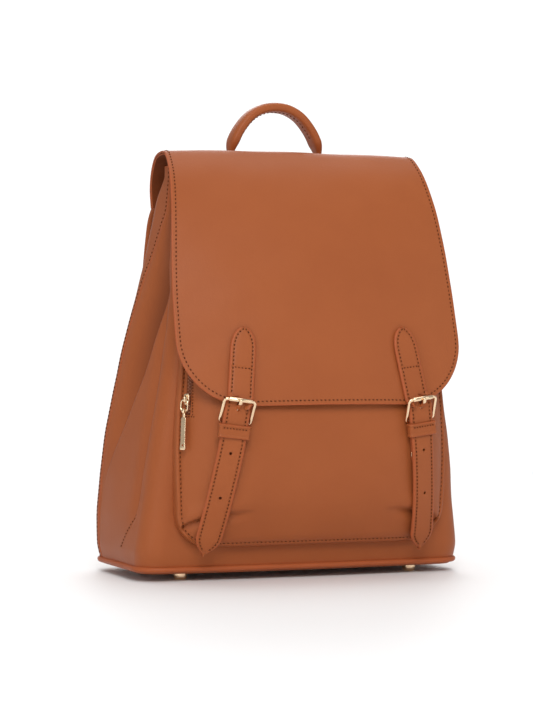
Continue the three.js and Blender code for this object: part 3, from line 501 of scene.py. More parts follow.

# %% [markdown]
# ## Thread, plated metal, cloth and zip
# The thread is darker than the leather, partly its own colour and partly painted shade of the
# needle holes, and twisted, so each stitch carries a fine slanted wave.
# The metal is a pale gold plating: a metallic shader whose roughness drifts a little and which
# shows hair-fine scratches. Lining and zip tape are woven, so two crossed waves make their
# threads, in the colour and in the height.

# %% Thread and metal
def thread_material():
    """Dark waxed thread with a twist; its darkness is partly painted shade of the needle holes."""
    material, link, node, shader = new_material("waxed_thread")
    place = node("ShaderNodeTexCoord").outputs["Object"]
    twist = node("ShaderNodeTexWave", bands_direction="DIAGONAL", Scale=260.0, Distortion=1.5)
    link(place, twist.inputs["Vector"])
    # Painted shade: these thread colours are dark partly to stand for the shade in the needle holes.
    link(blend_colours(link, node, twist.outputs["Fac"], (0.085, 0.02, 0.006), (0.15, 0.04, 0.013)),
         shader.inputs["Base Color"])
    bump = node("ShaderNodeBump", Strength=0.4, Distance=0.0001)
    link(twist.outputs["Fac"], bump.inputs["Height"])
    link(bump.outputs[0], shader.inputs["Normal"])
    shader.inputs["Roughness"].default_value = 0.7
    shader.inputs["Specular IOR Level"].default_value = 0.1
    return material


def plated(name, colour, deep, rough):
    """Polished plating: metallic, slightly uneven, with hair-fine scratches."""
    material, link, node, shader = new_material(name)
    place = node("ShaderNodeTexCoord").outputs["Object"]
    cloud = node("ShaderNodeTexNoise", Scale=160.0, Detail=2.0)
    hair = node("ShaderNodeTexNoise", Scale=700.0, Detail=1.0, Distortion=2.0)
    link(place, cloud.inputs["Vector"])
    link(place, hair.inputs["Vector"])
    link(blend_colours(link, node, cloud.outputs[0], colour, deep), shader.inputs["Base Color"])
    link(spread(link, node, cloud.outputs[0], rough - 0.05, rough + 0.08), shader.inputs["Roughness"])
    bump = node("ShaderNodeBump", Strength=0.08, Distance=0.00005)
    link(hair.outputs[0], bump.inputs["Height"])
    link(bump.outputs[0], shader.inputs["Normal"])
    shader.inputs["Metallic"].default_value = 1.0
    return material


thread = thread_material()
gold = plated("pale_gold_plating", (0.95, 0.74, 0.50), (0.86, 0.62, 0.39), 0.16)
steel = plated("magnet_steel", (0.56, 0.56, 0.57), (0.48, 0.48, 0.5), 0.35)
print("thread and metals:", thread.name, gold.name, steel.name)


# %% Woven and plain stuffs
def woven(name, colour, shade, threads):
    """Plain weave: two crossed waves, threads per metre, for colour and height."""
    material, link, node, shader = new_material(name)
    place = node("ShaderNodeTexCoord").outputs["Object"]
    lengthwise = node("ShaderNodeTexWave", bands_direction="X", Scale=threads / 6.3, Distortion=0.6)
    crosswise = node("ShaderNodeTexWave", bands_direction="Z", Scale=threads / 6.3, Distortion=0.6)
    link(place, lengthwise.inputs["Vector"])
    link(place, crosswise.inputs["Vector"])
    weave = node("ShaderNodeMath", operation="MULTIPLY")
    link(lengthwise.outputs["Fac"], weave.inputs[0])
    link(crosswise.outputs["Fac"], weave.inputs[1])
    link(blend_colours(link, node, weave.outputs[0], shade, colour), shader.inputs["Base Color"])
    bump = node("ShaderNodeBump", Strength=0.5, Distance=0.0002)
    link(weave.outputs[0], bump.inputs["Height"])
    link(bump.outputs[0], shader.inputs["Normal"])
    shader.inputs["Roughness"].default_value = 0.85
    shader.inputs["Sheen Weight"].default_value = 0.15
    return material


def plain(name, colour, shade, rough, scale=300.0):
    """A plain stuff with fine mottling: nylon, board, foam or the floor."""
    material, link, node, shader = new_material(name)
    place = node("ShaderNodeTexCoord").outputs["Object"]
    speck = node("ShaderNodeTexNoise", Scale=scale, Detail=3.0)
    link(place, speck.inputs["Vector"])
    link(blend_colours(link, node, speck.outputs[0], colour, shade), shader.inputs["Base Color"])
    bump = node("ShaderNodeBump", Strength=0.1, Distance=0.0001)
    link(speck.outputs[0], bump.inputs["Height"])
    link(bump.outputs[0], shader.inputs["Normal"])
    shader.inputs["Roughness"].default_value = rough
    return material


lining_cloth = woven("lining_cloth", (0.20, 0.10, 0.055), (0.12, 0.058, 0.032), 2200)
tape_cloth = woven("zip_tape_cloth", (0.27, 0.075, 0.024), (0.19, 0.05, 0.017), 2600)
coil_nylon = plain("zip_coil_nylon", (0.34, 0.12, 0.05), (0.27, 0.09, 0.04), 0.35)
board = plain("fibre_board", (0.12, 0.10, 0.09), (0.08, 0.07, 0.06), 0.8)
foam = plain("foam_sheet", (0.34, 0.31, 0.27), (0.26, 0.24, 0.21), 0.9)
print("woven and plain stuffs are ready")

# %% [markdown]
# ## The body's outline
# Seen from above at any height, the body is a rounded rectangle that narrows upwards. One half of
# it is walked by a single number: 0 to 1 along the back, 1 to 2 round the rear corner, 2 to 3
# along the side, 3 to 4 round the front corner, 4 to 5 along the front. Every panel, and the
# lining, is a stretch of this walk, so the panels always meet.

# %% The outline's formula
# Height, half width at the back, half width at the front, back y, front y.
BODY = [
    [11, 134.5, 133.5, 93.5, -31], [24, 137, 134.2, 94.5, -35], [60, 137.5, 129.5, 90, -38],
    [110, 134, 123.5, 83, -42], [180, 122, 113, 72, -44], [240, 109, 105, 62, -36],
    [288, 102.5, 99, 48, -20], [311, 98, 97, 28, -2],
]
WALL_BOTTOM, WALL_TOP = 11.0, 311.0
BACK_CORNER, FRONT_CORNER, FRONT_BOW = 24.0, 20.0, 4.0
LEATHER, LINING = 1.8, 0.8


def outline(walk, z, side, inset=0.0):
    """x and y by stretch: straight, quarter circle, straight, quarter circle, bowed straight."""
    back_half, front_half, back, front = along_table(BODY, z)
    r_back = np.minimum(BACK_CORNER, (back - front) * 0.32) - inset
    r_front = np.minimum(FRONT_CORNER, (back - front) * 0.32) - inset
    hb, hf, yb, yf = back_half - inset, front_half - inset, back - inset, front + inset
    t = walk - np.floor(np.minimum(walk, 4.999))
    turn = t * math.pi / 2
    stretch = np.minimum(np.floor(walk), 4)
    x = np.select(
        [stretch == 0, stretch == 1, stretch == 2, stretch == 3],
        [t * (hb - r_back), hb - r_back + r_back * np.sin(turn), hb + (hf - hb) * t,
         hf - r_front + r_front * np.cos(turn)],
        (1 - t) * (hf - r_front))
    y = np.select(
        [stretch == 0, stretch == 1, stretch == 2, stretch == 3],
        [yb + 0 * t, yb - r_back + r_back * np.cos(turn),
         yb - r_back + (yf + r_front - yb + r_back) * t, yf + r_front - r_front * np.sin(turn)],
        yf - FRONT_BOW * (1 - (1 - t) ** 2))
    return np.stack([side * x, y, z + 0 * x], axis=-1)


# Height, and the share of the side behind the back seam.
BACK_SEAM = [[11, 0.03], [180, 0.03], [215, 0.05], [237, 0.15], [270, 0.47], [290, 0.8], [319, 0.88]]


def seam_at(z):
    """Where the back seam runs on the side: at the rear corner, then forwards near the top."""
    return along_table(BACK_SEAM, z)[0]


def ripple(a, b, size, seed):
    """Slow unevenness of soft leather: four crossed sine waves of different lengths."""
    rng = np.random.default_rng(seed)
    total = 0.0
    for wave in (90.0, 61.0, 43.0, 31.0):
        turn, phase = rng.uniform(0, math.pi), rng.uniform(0, 2 * math.pi)
        total = total + wave / 90 * np.sin((a * math.cos(turn) + b * math.sin(turn)) * 2 * math.pi / wave
            + phase)
    return size * total


MIDDLE = np.array([0.0, 24.0, 160.0])
SHELL_TOP = 319.0                    # the leather stands up a little above the lining, under the flap
rows_of_wall = np.linspace(WALL_BOTTOM, SHELL_TOP, 125)
print("outline at 60 mm:", outline(np.array([2.0]), np.array([60.0]), 1)[0].round(1))

# %% [markdown]
# ## Gussets with their folds
# Gussets and front are one run of leather, from the left back seam round the front to the right
# one, so it is one sheet. Behind a gusset's middle it falls in towards the bag: a shallow slope
# starts at the back seam, grows deep, and climbs out steeply at a crease that runs forwards and
# up. Nearer the front a second, sharper crease is pressed in. Both are pushes along the
# surface's normal that depend on the distance from a crease line, so the edges stay where the
# neighbouring panels need them.

# %% Work out a gusset
CREASE_BACK = [[40, 66], [85, 47], [121, 23], [155, 4], [186, -7], [225, -18], [270, -20], [311, -20]]
CREASE_FRONT = [[29, 5], [49, -9], [80, -15], [109, -19], [157, -22], [208, -21], [250, -16]]
FOLD_DEPTH = 18.0


def fold_share(z):
    """How much of the fold there is at a height: it grows from 66 mm and eases off near the top."""
    return smoothstep((z - 66) / 140) * (1 - 0.68 * smoothstep((z - 268) / 43))


def gusset_push(y, z, seam_y, front_y):
    """How far the gusset is pushed in.

    Back fold: depth grows as a smooth step from the seam to 88% of the way to the crease, then
    falls off smoothly to the crease. Front fold: a narrow bell ahead of its crease and a wide
    one behind it.
    """
    crease = np.maximum(along_table(CREASE_BACK, z)[0], front_y + 2)
    q = np.clip((seam_y - y) / np.maximum(seam_y - crease, 8.0), 0, 2)
    deep = FOLD_DEPTH * fold_share(z)
    deep = np.minimum(deep, 0.55 * np.maximum(seam_y - crease, 0))
    back = deep * smoothstep(q / 0.88) ** 1.3 * (1 - smoothstep((q - 0.9) / 0.12))
    line = along_table(CREASE_FRONT, z)[0]
    gap = y - line
    bell = np.where(gap > 0, np.exp(-(gap / 9.0) ** 2), np.exp(-(gap / 1.3) ** 2))
    front = 3.0 * bell * smoothstep((z - 36) / 30) * (1 - smoothstep((z - 200) / 45))
    return back + front


SEAM_SINK = 0.9                      # half a leather's thickness, kept free at the back seam


def shell_half(side):
    """From the back seam to the middle of the front, pushed in at the folds, with the share of painted
    shade in the back fold.
    """
    z = rows_of_wall[:, None]
    start = 2 + seam_at(z) + SEAM_SINK / 70
    flank = start + (3 - start) * crowd(110, 3, 1, 0.15)[None, :]
    corner = np.linspace(3, 4, 20)[None, 1:] + 0 * z
    front = np.linspace(4, 5, 46)[None, 1:] + 0 * z
    walk = np.concatenate([flank, corner, front], axis=1)
    grid = outline(walk, z + 0 * walk, side)
    _, _, back, front_line = along_table(BODY, z)
    front_y = front_line + np.minimum(FRONT_CORNER, (back - front_line) * 0.32)
    seam_y = outline(2 + seam_at(z), z + 0 * z, side)[..., 1]
    crease = np.maximum(along_table(CREASE_BACK, z)[0], front_y + 2)
    q = (seam_y - grid[..., 1]) / np.maximum(seam_y - crease, 8.0)
    # The share of painted shade in the back fold: it grows from the seam towards the crease and up the bag.
    shade = smoothstep((q - 0.1) / 0.8) * (1 - smoothstep((q - 0.98) / 0.05)) * smoothstep((z - 100) / 110)
    push = gusset_push(grid[..., 1], z + 0 * walk, seam_y, front_y) * (walk < 3.3)
    push = push + ripple(grid[..., 1], grid[..., 2], 0.22,
        3 if side < 0 else 8) * smoothstep((4.2 - walk) / 0.8)
    normal = normals_of(grid, grid - MIDDLE)
    return grid - normal * (push * smoothstep((walk - start) / 0.02))[..., None], shade


(left_half, left_shade), (right_half, right_shade) = shell_half(-1), shell_half(1)
shell_grid = np.concatenate([left_half, right_half[:, -2::-1]], axis=1)
shell_facing = shell_grid - MIDDLE
front_shell = piece("front_shell_leather", sheet_mesh(shell_grid, LEATHER, shell_facing), skin,
                    ["gusset_left", "gusset_right", "front_panel"])
# The fold value carries that painted shade to the leather material.
shade = np.concatenate([left_shade, right_shade[:, -2::-1]], axis=1).ravel()
fold_values = np.zeros(len(front_shell.data.vertices), np.float32)
fold_values[:len(shade)] = shade
front_shell.data.attributes.new("fold", "FLOAT", "POINT").data.foreach_set("value", fold_values)
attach(front_shell, "bag")
print("the shell of gussets and front has", len(front_shell.data.polygons), "faces")

# %% [markdown]
# ## Back panel
# The back panel wraps round both rear corners to the gusset seams. It is a plain stretch of the
# outline with a slow ripple, because a flat panel of real leather is never quite flat.

# %% Work out the back panel
def panel_grid(walks, seed):
    """Both halves of the outline, left then right, with a small ripple along the normal."""
    z = rows_of_wall[:, None]
    half = walks(z)
    left = outline(half, z + 0 * half, -1)
    right = outline(half, z + 0 * half, 1)
    grid = np.concatenate([left[:, ::-1], right[:, 1:]], axis=1)
    normal = normals_of(grid, grid - MIDDLE)
    return grid + normal * ripple(grid[..., 0], grid[..., 2], 0.2, seed)[..., None]


def back_walks(z):
    """From the middle of the back to the back seam."""
    flat = np.linspace(0, 1, 40)[None, :-1] + 0 * z
    corner = np.linspace(1, 2, 14)[None, :-1] + 0 * z
    rest = 2 + (seam_at(z) - SEAM_SINK / 70) * np.linspace(0, 1, 16)[None, :]
    return np.concatenate([flat, corner, rest], axis=1)


back_grid = panel_grid(back_walks, 5)
back_panel = piece("back_panel_leather", sheet_mesh(back_grid, LEATHER, back_grid - MIDDLE), skin,
                   ["back_panel"])
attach(back_panel, "bag")
print("the back panel has", len(back_panel.data.polygons), "faces")

# %% [markdown]
# ## Seams of the body
# A row of stitches runs beside each gusset seam, on the panel's side, and a short stitched dart
# takes in the foot of each gusset. The rows are lines on the same surfaces, a few millimetres
# inside the edge.

# %% Stitch the body
rows = [
    stitch_mesh(*edge_run(back_grid, back_grid - MIDDLE, 2.4, ["left"])),
    stitch_mesh(*edge_run(back_grid, back_grid - MIDDLE, 2.4, ["right"])),
]
for half in (left_half, right_half):
    grid = half[:, :110]
    normal = normals_of(grid, grid - MIDDLE)
    height = np.argmin(np.abs(rows_of_wall - 60))
    foot = np.argmin(np.abs(rows_of_wall - 24))
    line, lean = [], []
    for row in range(foot, height):
        want = np.interp(rows_of_wall[row], [24, 48, 60], [14, -8, -13])
        col = np.argmin(np.abs(grid[row, :, 1] - want))
        line.append(grid[row, col])
        lean.append(normal[row, col])
    rows.append(stitch_mesh(np.array(line), np.array(lean), 3.4))
body_stitches = piece("body_stitching", together(*rows), thread)
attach(body_stitches, "bag")
print("body stitching has", len(body_stitches.data.polygons), "faces")

# %% [markdown]
# ## The lining, the stiffener and the slip pocket
# Inside hangs a tub of cloth, open at the top. It follows the same outline a little further in,
# so it can be one skin that runs up the outside, over the brim and down the inside to the floor.
# The foam stiffener and the slip pocket are flat sheets against the back.

# %% Work out the inside
LINING_INSET = 3.0
lining_heights = np.linspace(WALL_BOTTOM + 1.4, WALL_TOP - 2, 60)


def lining_ring(z, inset, lift=0.0):
    """One closed ring of the outline at a height."""
    half = np.concatenate([np.linspace(0, 1, 12)[:-1], np.linspace(1, 2, 9)[:-1],
        np.linspace(2, 3, 26)[:-1],
                           np.linspace(3, 4, 8)[:-1], np.linspace(4, 5, 12)])
    height = np.full(len(half), z)
    right, left = outline(half, height, 1, inset), outline(half, height, -1, inset)
    for ring in (right, left):
        middle = (outline(np.array([2 + seam_at(z)]), np.array([z]), 1)[0, 1] + along_table(CREASE_BACK,
            z)[0]) / 2
        bell = np.exp(-((ring[:, 1] - middle) / 22) ** 2) * (half > 2) * (half < 3.2)
        ring[:, 0] *= 1 - 0.17 * bell * fold_share(z)
        ring[:, 2] += lift
    return np.concatenate([right, left[-2:0:-1]])


outside = [lining_ring(z, LINING_INSET) for z in lining_heights]
inside = [lining_ring(z, LINING_INSET + LINING, LINING if i == 0 else 0) for i,
    z in enumerate(lining_heights)]
tub = piece("lining_tub", ring_mesh(np.array(outside + inside[::-1])), lining_cloth,
    ["lining"])
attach(tub, "bag")


def back_sheet(half_share, low, high, inset, crown):
    """A flat sheet against the back, its middle standing off by a low crown."""
    z = np.linspace(low, high, 50)[:, None]
    t = np.linspace(-half_share, half_share, 60)[None, :]
    grid = outline(np.abs(t) + 0 * z, z + 0 * t, 1, inset)
    grid[..., 0] *= np.sign(t)
    share = (z - low) / (high - low)
    grid[..., 1] -= crown * (1 - (t / half_share) ** 2) * np.sin(math.pi * share)
    return grid


FORWARD = np.array([0.0, -1.0, 0.0])
stiffener = piece("back_stiffener_foam", sheet_mesh(back_sheet(0.94, 36, 240, 4.5, 0.0), 2.2, -FORWARD),
    foam,
                  ["back_stiffener"])
slip = back_sheet(0.75, 90, 210, 7.4, 2.0)
slip_pocket = piece("inner_slip_pocket_cloth", sheet_mesh(slip, 1.0, FORWARD), lining_cloth,
                    ["inner_slip_pocket"])
for made in (stiffener, slip_pocket):
    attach(made, "bag")
print("the lining has", len(tub.data.polygons), "faces")

# %% [markdown]
# ## The base
# A rolled rim of leather runs round the bottom edge, and four domed feet keep the leather off the
# table. The rim is a bar along the body's own outline. A plate is that outline again, shrunk and
# raised ring by ring, so its edge is round and its middle closes in one point.

# %% Plates and rounded outlines
def rounded_rect(half_x, half_y, radius, per_corner=10):
    """Points of a rounded rectangle, each corner a quarter circle."""
    turn = np.linspace(0, math.pi / 2, per_corner)
    corners = []
    for quarter, (sx, sy) in enumerate([(1, 1), (-1, 1), (-1, -1), (1, -1)]):
        a = turn + quarter * math.pi / 2
        corners.append(np.stack([sx * (half_x - radius) + radius * np.cos(a),
                                 sy * (half_y - radius) + radius * np.sin(a)], axis=-1))
    return np.concatenate(corners)


def closed_path(points, count):
    """A closed outline, sampled again at even steps."""
    ring = np.concatenate([points, points[:1]])
    length = np.concatenate([[0], np.cumsum(np.linalg.norm(np.diff(ring, axis=0), axis=1))])
    stops = np.linspace(0, length[-1], count, endpoint=False)
    return np.stack([np.interp(stops, length, ring[:, k]) for k in range(ring.shape[1])], axis=-1)


def plate_mesh(shape, low, high, edge, origin, axes, inner=0.6):
    """A flat plate with round edges.

    The outline moves in along its own normal by edge * (1 - sin a) while the height goes from
    the face by edge * (1 - cos a); rings further in shrink towards the middle.
    """
    ahead = np.roll(shape, -1, axis=0) - np.roll(shape, 1, axis=0)
    inward = unit(np.stack([-ahead[:, 1], ahead[:, 0]], axis=-1))
    middle = shape.mean(axis=0)
    if np.sum(inward * (middle - shape)) < 0:
        inward = -inward
    turns = np.linspace(0, math.pi / 2, 4)
    profile = [(edge * (1 - math.sin(a)), low + edge * (1 - math.cos(a))) for a in turns]
    profile += [(edge * (1 - math.sin(a)), high - edge * (1 - math.cos(a))) for a in turns[::-1]]
    rings = [np.concatenate([shape + inward * i, np.full((len(shape), 1), h)], axis=1) for i, h in profile]
    flat_low = rings[0].copy()
    flat_high = rings[-1].copy()
    for flat in (flat_low, flat_high):
        flat[:, :2] = middle + (flat[:, :2] - middle) * inner
    local = np.array([flat_low, *rings, flat_high])
    points, faces, _ = ring_mesh(local)
    return np.asarray(origin) + points @ np.asarray(axes), faces, None


IDENTITY = np.eye(3)
RIM = {"z": 9.4, "tube": 2.1}


def base_outline(inset, count=240):
    """The body's own outline at the foot of the wall, moved in, once round."""
    walk = np.concatenate([np.linspace(k, k + 1, 40)[:-1] for k in range(5)] + [[5.0]])
    foot = np.full(len(walk), WALL_BOTTOM)
    right, left = outline(walk, foot, 1, inset), outline(walk, foot, -1, inset)
    return closed_path(np.concatenate([right, left[-2:0:-1]])[:, :2], count)


rim_path = np.column_stack([base_outline(-0.2), np.full(240, RIM["z"])])
UP = np.array([0.0, 0.0, 1.0])
rim = piece("base_rim_leather",
    bar_mesh(rim_path, UP, RIM["tube"], RIM["tube"] * 1.05, sides=16, loop=True),
            trim, ["base_piping"])
rim.data.attributes["edge"].data.foreach_set("value", np.full(len(rim.data.vertices), 0.7, np.float32))
bottom = piece("bottom_panel_leather", plate_mesh(base_outline(2.4), 6.0, 8.0, 0.9, (0, 0, 0), IDENTITY),
               trim, ["bottom_panel"], sharp=50)
inner_board = piece("base_board_plate", plate_mesh(base_outline(3.4), 8.3, 10.5, 0.4, (0, 0, 0), IDENTITY),
                    board, ["base_board"], sharp=50)
for made in (rim, bottom, inner_board):
    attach(made, "bag")


print("the rim follows", len(rim_path), "points of the outline")

# %% Turned pieces: feet
def turned(profile, centre, sides=40):
    """A turned piece: each profile point (radius, height) carried once round the centre."""
    angle = np.arange(sides) * 2 * math.pi / sides
    rings = [np.stack([r * np.cos(angle), r * np.sin(angle), np.full(sides, h)], axis=-1) for r,
        h in profile]
    points, faces, _ = ring_mesh(np.array(rings))
    return points + np.asarray(centre), faces, None


FOOT_PROFILE = [(0.8, 0.0), (2.6, 0.0), (3.7, 0.15), (4.5, 0.7), (5.0, 1.5), (5.2, 2.4), (5.2, 3.6),
    (5.2, 5.9),
                (0.8, 5.9)]
for row in ("front", "back"):
    for label in ("left", "right"):
        node = f"foot_{row}_{label}"
        low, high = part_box(node)
        centre = (np.array(low) + np.array(high)) / 2 / MM - RIDGE
        foot = piece(f"{node}_dome", turned(FOOT_PROFILE, (centre[0], centre[1], 0)), gold,
            [node], sharp=60)
        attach(foot, "bag")
print("the base has a rim of", len(rim.data.polygons), "faces and four feet")

# %% [markdown]
# ## The flap
# The flap is one piece of leather, lined underneath. It starts at the back seam, climbs over the
# ridge and hangs down the front, where its corners are round. Its side edge is a smooth line
# through a few points; across it, the leather is arched by a low crown. The real flap bends at
# its hinge line when it opens, but here its pieces are only fixed in place and are not blended
# between the bag and the moving flap.

# %% The flap's surface
# Points (y, z) of the outer surface at the side edge, from the back seam over to the front.
FLAP_PROFILE = [
    (53.2, 289), (49.5, 303), (40, 317), (26, 327.5), (12, 330.8), (0, 330), (-12, 321.5),
    (-22, 310), (-33, 289), (-42.5, 262), (-51, 230), (-64, 180), (-74.5, 134),
]
RIDGE_Z, RIDGE_HALF, BACK_HALF = 330.0, 104.0, 98.0
FLARE, FLARE_DEPTH = 11.5, 140.0
CROWN_TOP, CROWN, CROWN_DEPTH, FLAP_CORNER = 1.5, 8.5, 110.0, 52.0
FLAP_LEATHER, FLAP_BACKING, GAP = 1.6, 1.1, 0.3

flap_line, flap_stops = through(FLAP_PROFILE, 2400)
flap_slope = unit(np.gradient(flap_line, axis=0))
FLAP_LENGTH = flap_stops[-1]


OUTWARD_FROM = np.array([0.0, 10.0, 250.0])


def flap_half(y, z):
    """Half the flap's width: straight behind the hinge, flaring as a sine towards the front."""
    behind = BACK_HALF + (RIDGE_HALF - BACK_HALF) * np.minimum((z - 289) / (RIDGE_Z - 289), 1)
    down = np.clip((RIDGE_Z - z) / FLARE_DEPTH, 0, 1)
    return np.where(y > HINGE_BEHIND_RIDGE, behind, RIDGE_HALF + FLARE * np.sin(math.pi / 2 * down))


def flap_surface(s, t, depth=0.0):
    """Point = edge line at length s + outward * (crown * (1 - t^2) - depth), with x = t * half."""
    y = np.interp(s, flap_stops, flap_line[:, 0])
    z = np.interp(s, flap_stops, flap_line[:, 1])
    dy = np.interp(s, flap_stops, flap_slope[:, 0])
    dz = np.interp(s, flap_stops, flap_slope[:, 1])
    out_y, out_z = dz, -dy
    flip = np.where(out_y * (y - 10) + out_z * (z - 250) < 0, -1.0, 1.0)
    half = flap_half(y, z)
    share = np.where(y > HINGE_BEHIND_RIDGE, 0, smoothstep((RIDGE_Z - z) / CROWN_DEPTH))
    rise = (CROWN_TOP + CROWN * share) * (1 - t * t) - depth
    return np.stack([t * half, y + out_y * flip * rise, z + out_z * flip * rise], axis=-1)


def flap_end(t, inset=0.0):
    """The length at which a column ends: full in the middle, a quarter circle at the corners."""
    half = RIDGE_HALF + FLARE
    k = np.clip((np.abs(t) * half - (half - FLAP_CORNER)) / FLAP_CORNER, 0, 1)
    return FLAP_LENGTH - FLAP_CORNER * (1 - np.sqrt(1 - k * k)) - inset


def flap_grid(depth, narrower=0.0, rows=170, cols=150):
    """Columns crowd at the side edges and rows at the brim, where the stitches are.

    The normals come from small steps in length and in t, because at the round corners the
    grid's own two directions run almost together.
    """
    t = (2 * crowd(cols, 6, 6, 0.12) - 1)[None, :]
    r = crowd(rows, 1.5, 4, 0.25)[:, None]
    s = narrower + (flap_end(t) - 2 * narrower) * r
    t = t * (1 - narrower / RIDGE_HALF) + 0 * s
    along_s = flap_surface(np.minimum(s + 0.6, FLAP_LENGTH), t,
        depth) - flap_surface(np.maximum(s - 0.6, 0), t, depth)
    along_t = flap_surface(s, t + 0.004, depth) - flap_surface(s, t - 0.004, depth)
    normal = unit(np.cross(along_t, along_s))
    grid = flap_surface(s, t, depth)
    sign = np.sign(np.sum(normal * (grid - OUTWARD_FROM)))
    normal = normal * sign
    return grid + normal * ripple(grid[..., 0], grid[..., 2], 0.2, 12)[..., None], normal


print("the flap's edge line is", round(float(FLAP_LENGTH)), "mm long")


def bend_with_flap(made):
    """Fixes the piece's place in its points; it is not blended between the bag and the flap."""
    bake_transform(made)


flap_top, flap_normal = flap_grid(0.0)
flap_facing = flap_top - OUTWARD_FROM
flap_leather = piece("flap_outer_leather",
    sheet_mesh(flap_top, FLAP_LEATHER, flap_facing, normal=flap_normal), skin,
                     ["flap_yoke", "flap_leather"])
flap_under, under_normal = flap_grid(FLAP_LEATHER + GAP, narrower=0.5)
flap_backing = piece("flap_backing_leather",
    sheet_mesh(flap_under, FLAP_BACKING, flap_facing, normal=under_normal),
                     backing, ["flap_yoke_lining", "flap_lining"])
FLAP_INSET = 2.6
flap_seam = piece("flap_stitching", together(
    stitch_mesh(*edge_run(flap_top, flap_facing, FLAP_INSET, ["left", "bottom", "right"], flap_normal)),
    stitch_mesh(*edge_run(flap_top[2:], flap_facing[2:], FLAP_INSET, ["top_ahead"], flap_normal[2:])),
), thread)
for made in (flap_leather, flap_backing, flap_seam):
    bend_with_flap(made)
print("the flap is", round(float(FLAP_LENGTH)), "mm long over the ridge,", len(flap_leather.data.polygons),
    "faces")

# %% [markdown]
# ## The zip across the mouth
# Under the flap a zip closes the mouth: two woven tapes, a double row of nylon teeth and a slider.
# The teeth are capsules that point across the zip from alternate sides, as the turns of a nylon
# coil do.

# %% Lay the top zip
ZIP_TOP = {"z": 312.0, "half": 94.0, "front": -1.0, "back": 27.0, "teeth": 5.0}


def zip_teeth(start, end, across, out, pitch=1.5, reach=1.15, length=2.7, radius=0.52):
    """Teeth along a line: every other one is moved to the other side by reach."""
    centres, along = evenly(np.array([start, end], float), pitch)
    sign = np.where(np.arange(len(centres)) % 2 == 0, 1.0, -1.0)[:, None]
    across, out = np.broadcast_to(across, centres.shape), np.broadcast_to(out, centres.shape)
    return capsule_mesh(centres + across * reach * sign, across, out, length, radius, sides=8, rings=5)


zip_middle = (ZIP_TOP["front"] + ZIP_TOP["back"]) / 2
for label, near, far in (("front", zip_middle - 2.8, ZIP_TOP["front"]),
    ("back", zip_middle + 2.8, ZIP_TOP["back"])):
    x = np.linspace(-ZIP_TOP["half"], ZIP_TOP["half"], 120)[None, :]
    y = np.linspace(near, far, 14)[:, None]
    sag = 0.5 * np.sin(math.pi * (y - near) / (far - near)) + 0 * x
    tape_grid = np.stack([x + 0 * y, y + 0 * x, ZIP_TOP["z"] + 0.5 - sag], axis=-1)
    tape = piece(f"top_zip_tape_{label}_woven", sheet_mesh(tape_grid, 0.8, UP), tape_cloth,
                 [f"top_zip_tape_{label}"])
    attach(tape, "bag")
coil = piece("top_zip_teeth", zip_teeth(
    (-ZIP_TOP["half"] + 3, zip_middle, ZIP_TOP["z"]), (ZIP_TOP["half"] - 3, zip_middle, ZIP_TOP["z"]),
    (0, 1, 0), (0, 0, 1)), coil_nylon, ["top_zip_coil"])
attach(coil, "bag")
print("the top zip is", 2 * ZIP_TOP["half"], "mm long")

# %% Zip sliders
def slider_mesh(origin, axes, low=0.0, thick=2.3, half_wide=2.9, half_long=4.3):
    """A zip slider: a plate that is broad at its throat and narrow at its tail, with a bridge.

    axes are rows: across the zip, along it, and out of it.
    """
    v = np.linspace(0, 2 * math.pi, 48, endpoint=False)
    x = half_wide * np.sign(np.cos(v)) * np.abs(np.cos(v)) ** 0.55
    y = half_long * np.sign(np.sin(v)) * np.abs(np.sin(v)) ** 0.7
    x = x * (0.86 + 0.14 * np.sin(v))
    body = plate_mesh(np.stack([x, y], axis=-1), low, low + thick, 0.7, origin, axes)
    arch = np.array([(0, -2.4, 1.4), (0, -2.4, 3.1), (0, -1.9, 4.1), (0, -0.8, 4.55), (0, 0.8, 4.55),
                     (0, 1.9, 4.1), (0, 2.4, 3.1), (0, 2.4, 1.4)])
    line, _ = through(arch, 30)
    line = np.asarray(origin) + (line + [0, 0, low]) @ np.asarray(axes)
    bridge = bar_mesh(line, np.asarray(axes)[0], 0.5, 0.75, power=2.6, sides=14)
    return together(body, bridge)


low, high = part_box("top_zip_slider")
slider_x = (low[0] + high[0]) / 2 / MM
top_axes = np.array([[0, 1, 0], [1, 0, 0], [0, 0, 1]])
top_slider = piece("top_zip_slider_body", slider_mesh((slider_x, zip_middle, 313.2), top_axes), gold,
                   ["top_zip_slider"], sharp=45)
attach(top_slider, "top_slider")


def oblong(half_wide, start, end, radius=0.9):
    """An upright oblong from start to end, as an outline."""
    ring = rounded_rect(half_wide, (end - start) / 2, min(radius, half_wide * 0.95))
    return closed_path(ring + [0, (start + end) / 2], 48)


def drilled(made, centre, axis, radius, length=8.0, sides=28):
    """The piece with a round hole, cut by a Boolean against a short cylinder."""
    tool_data = bpy.data.meshes.new("drill")
    path = np.asarray(centre) + np.outer([-length / 2, length / 2], unit(np.asarray(axis, float)))
    across = unit(np.cross(axis, (0.31, 0.42, 0.85)))
    points, faces, _ = bar_mesh(path, across, radius, radius, sides=sides)
    tool_data.from_pydata(metres(points).tolist(), [], [f for block in faces for f in block.tolist()])
    tool = bpy.data.objects.new("drill", tool_data)
    bpy.context.scene.collection.objects.link(tool)
    bpy.context.view_layer.update()
    if volume_of(points - points.mean(axis=0), faces) < 0:
        tool_data.flip_normals()
    cut = made.modifiers.new("hole", "BOOLEAN")
    cut.operation, cut.object, cut.solver = "DIFFERENCE", tool, "MANIFOLD"
    result = bpy.data.meshes.new_from_object(made.evaluated_get(bpy.context.evaluated_depsgraph_get()))
    made.modifiers.clear()
    made.data = result
    made.data.set_sharp_from_angle(angle=math.radians(50))
    bpy.data.objects.remove(tool)
    return made


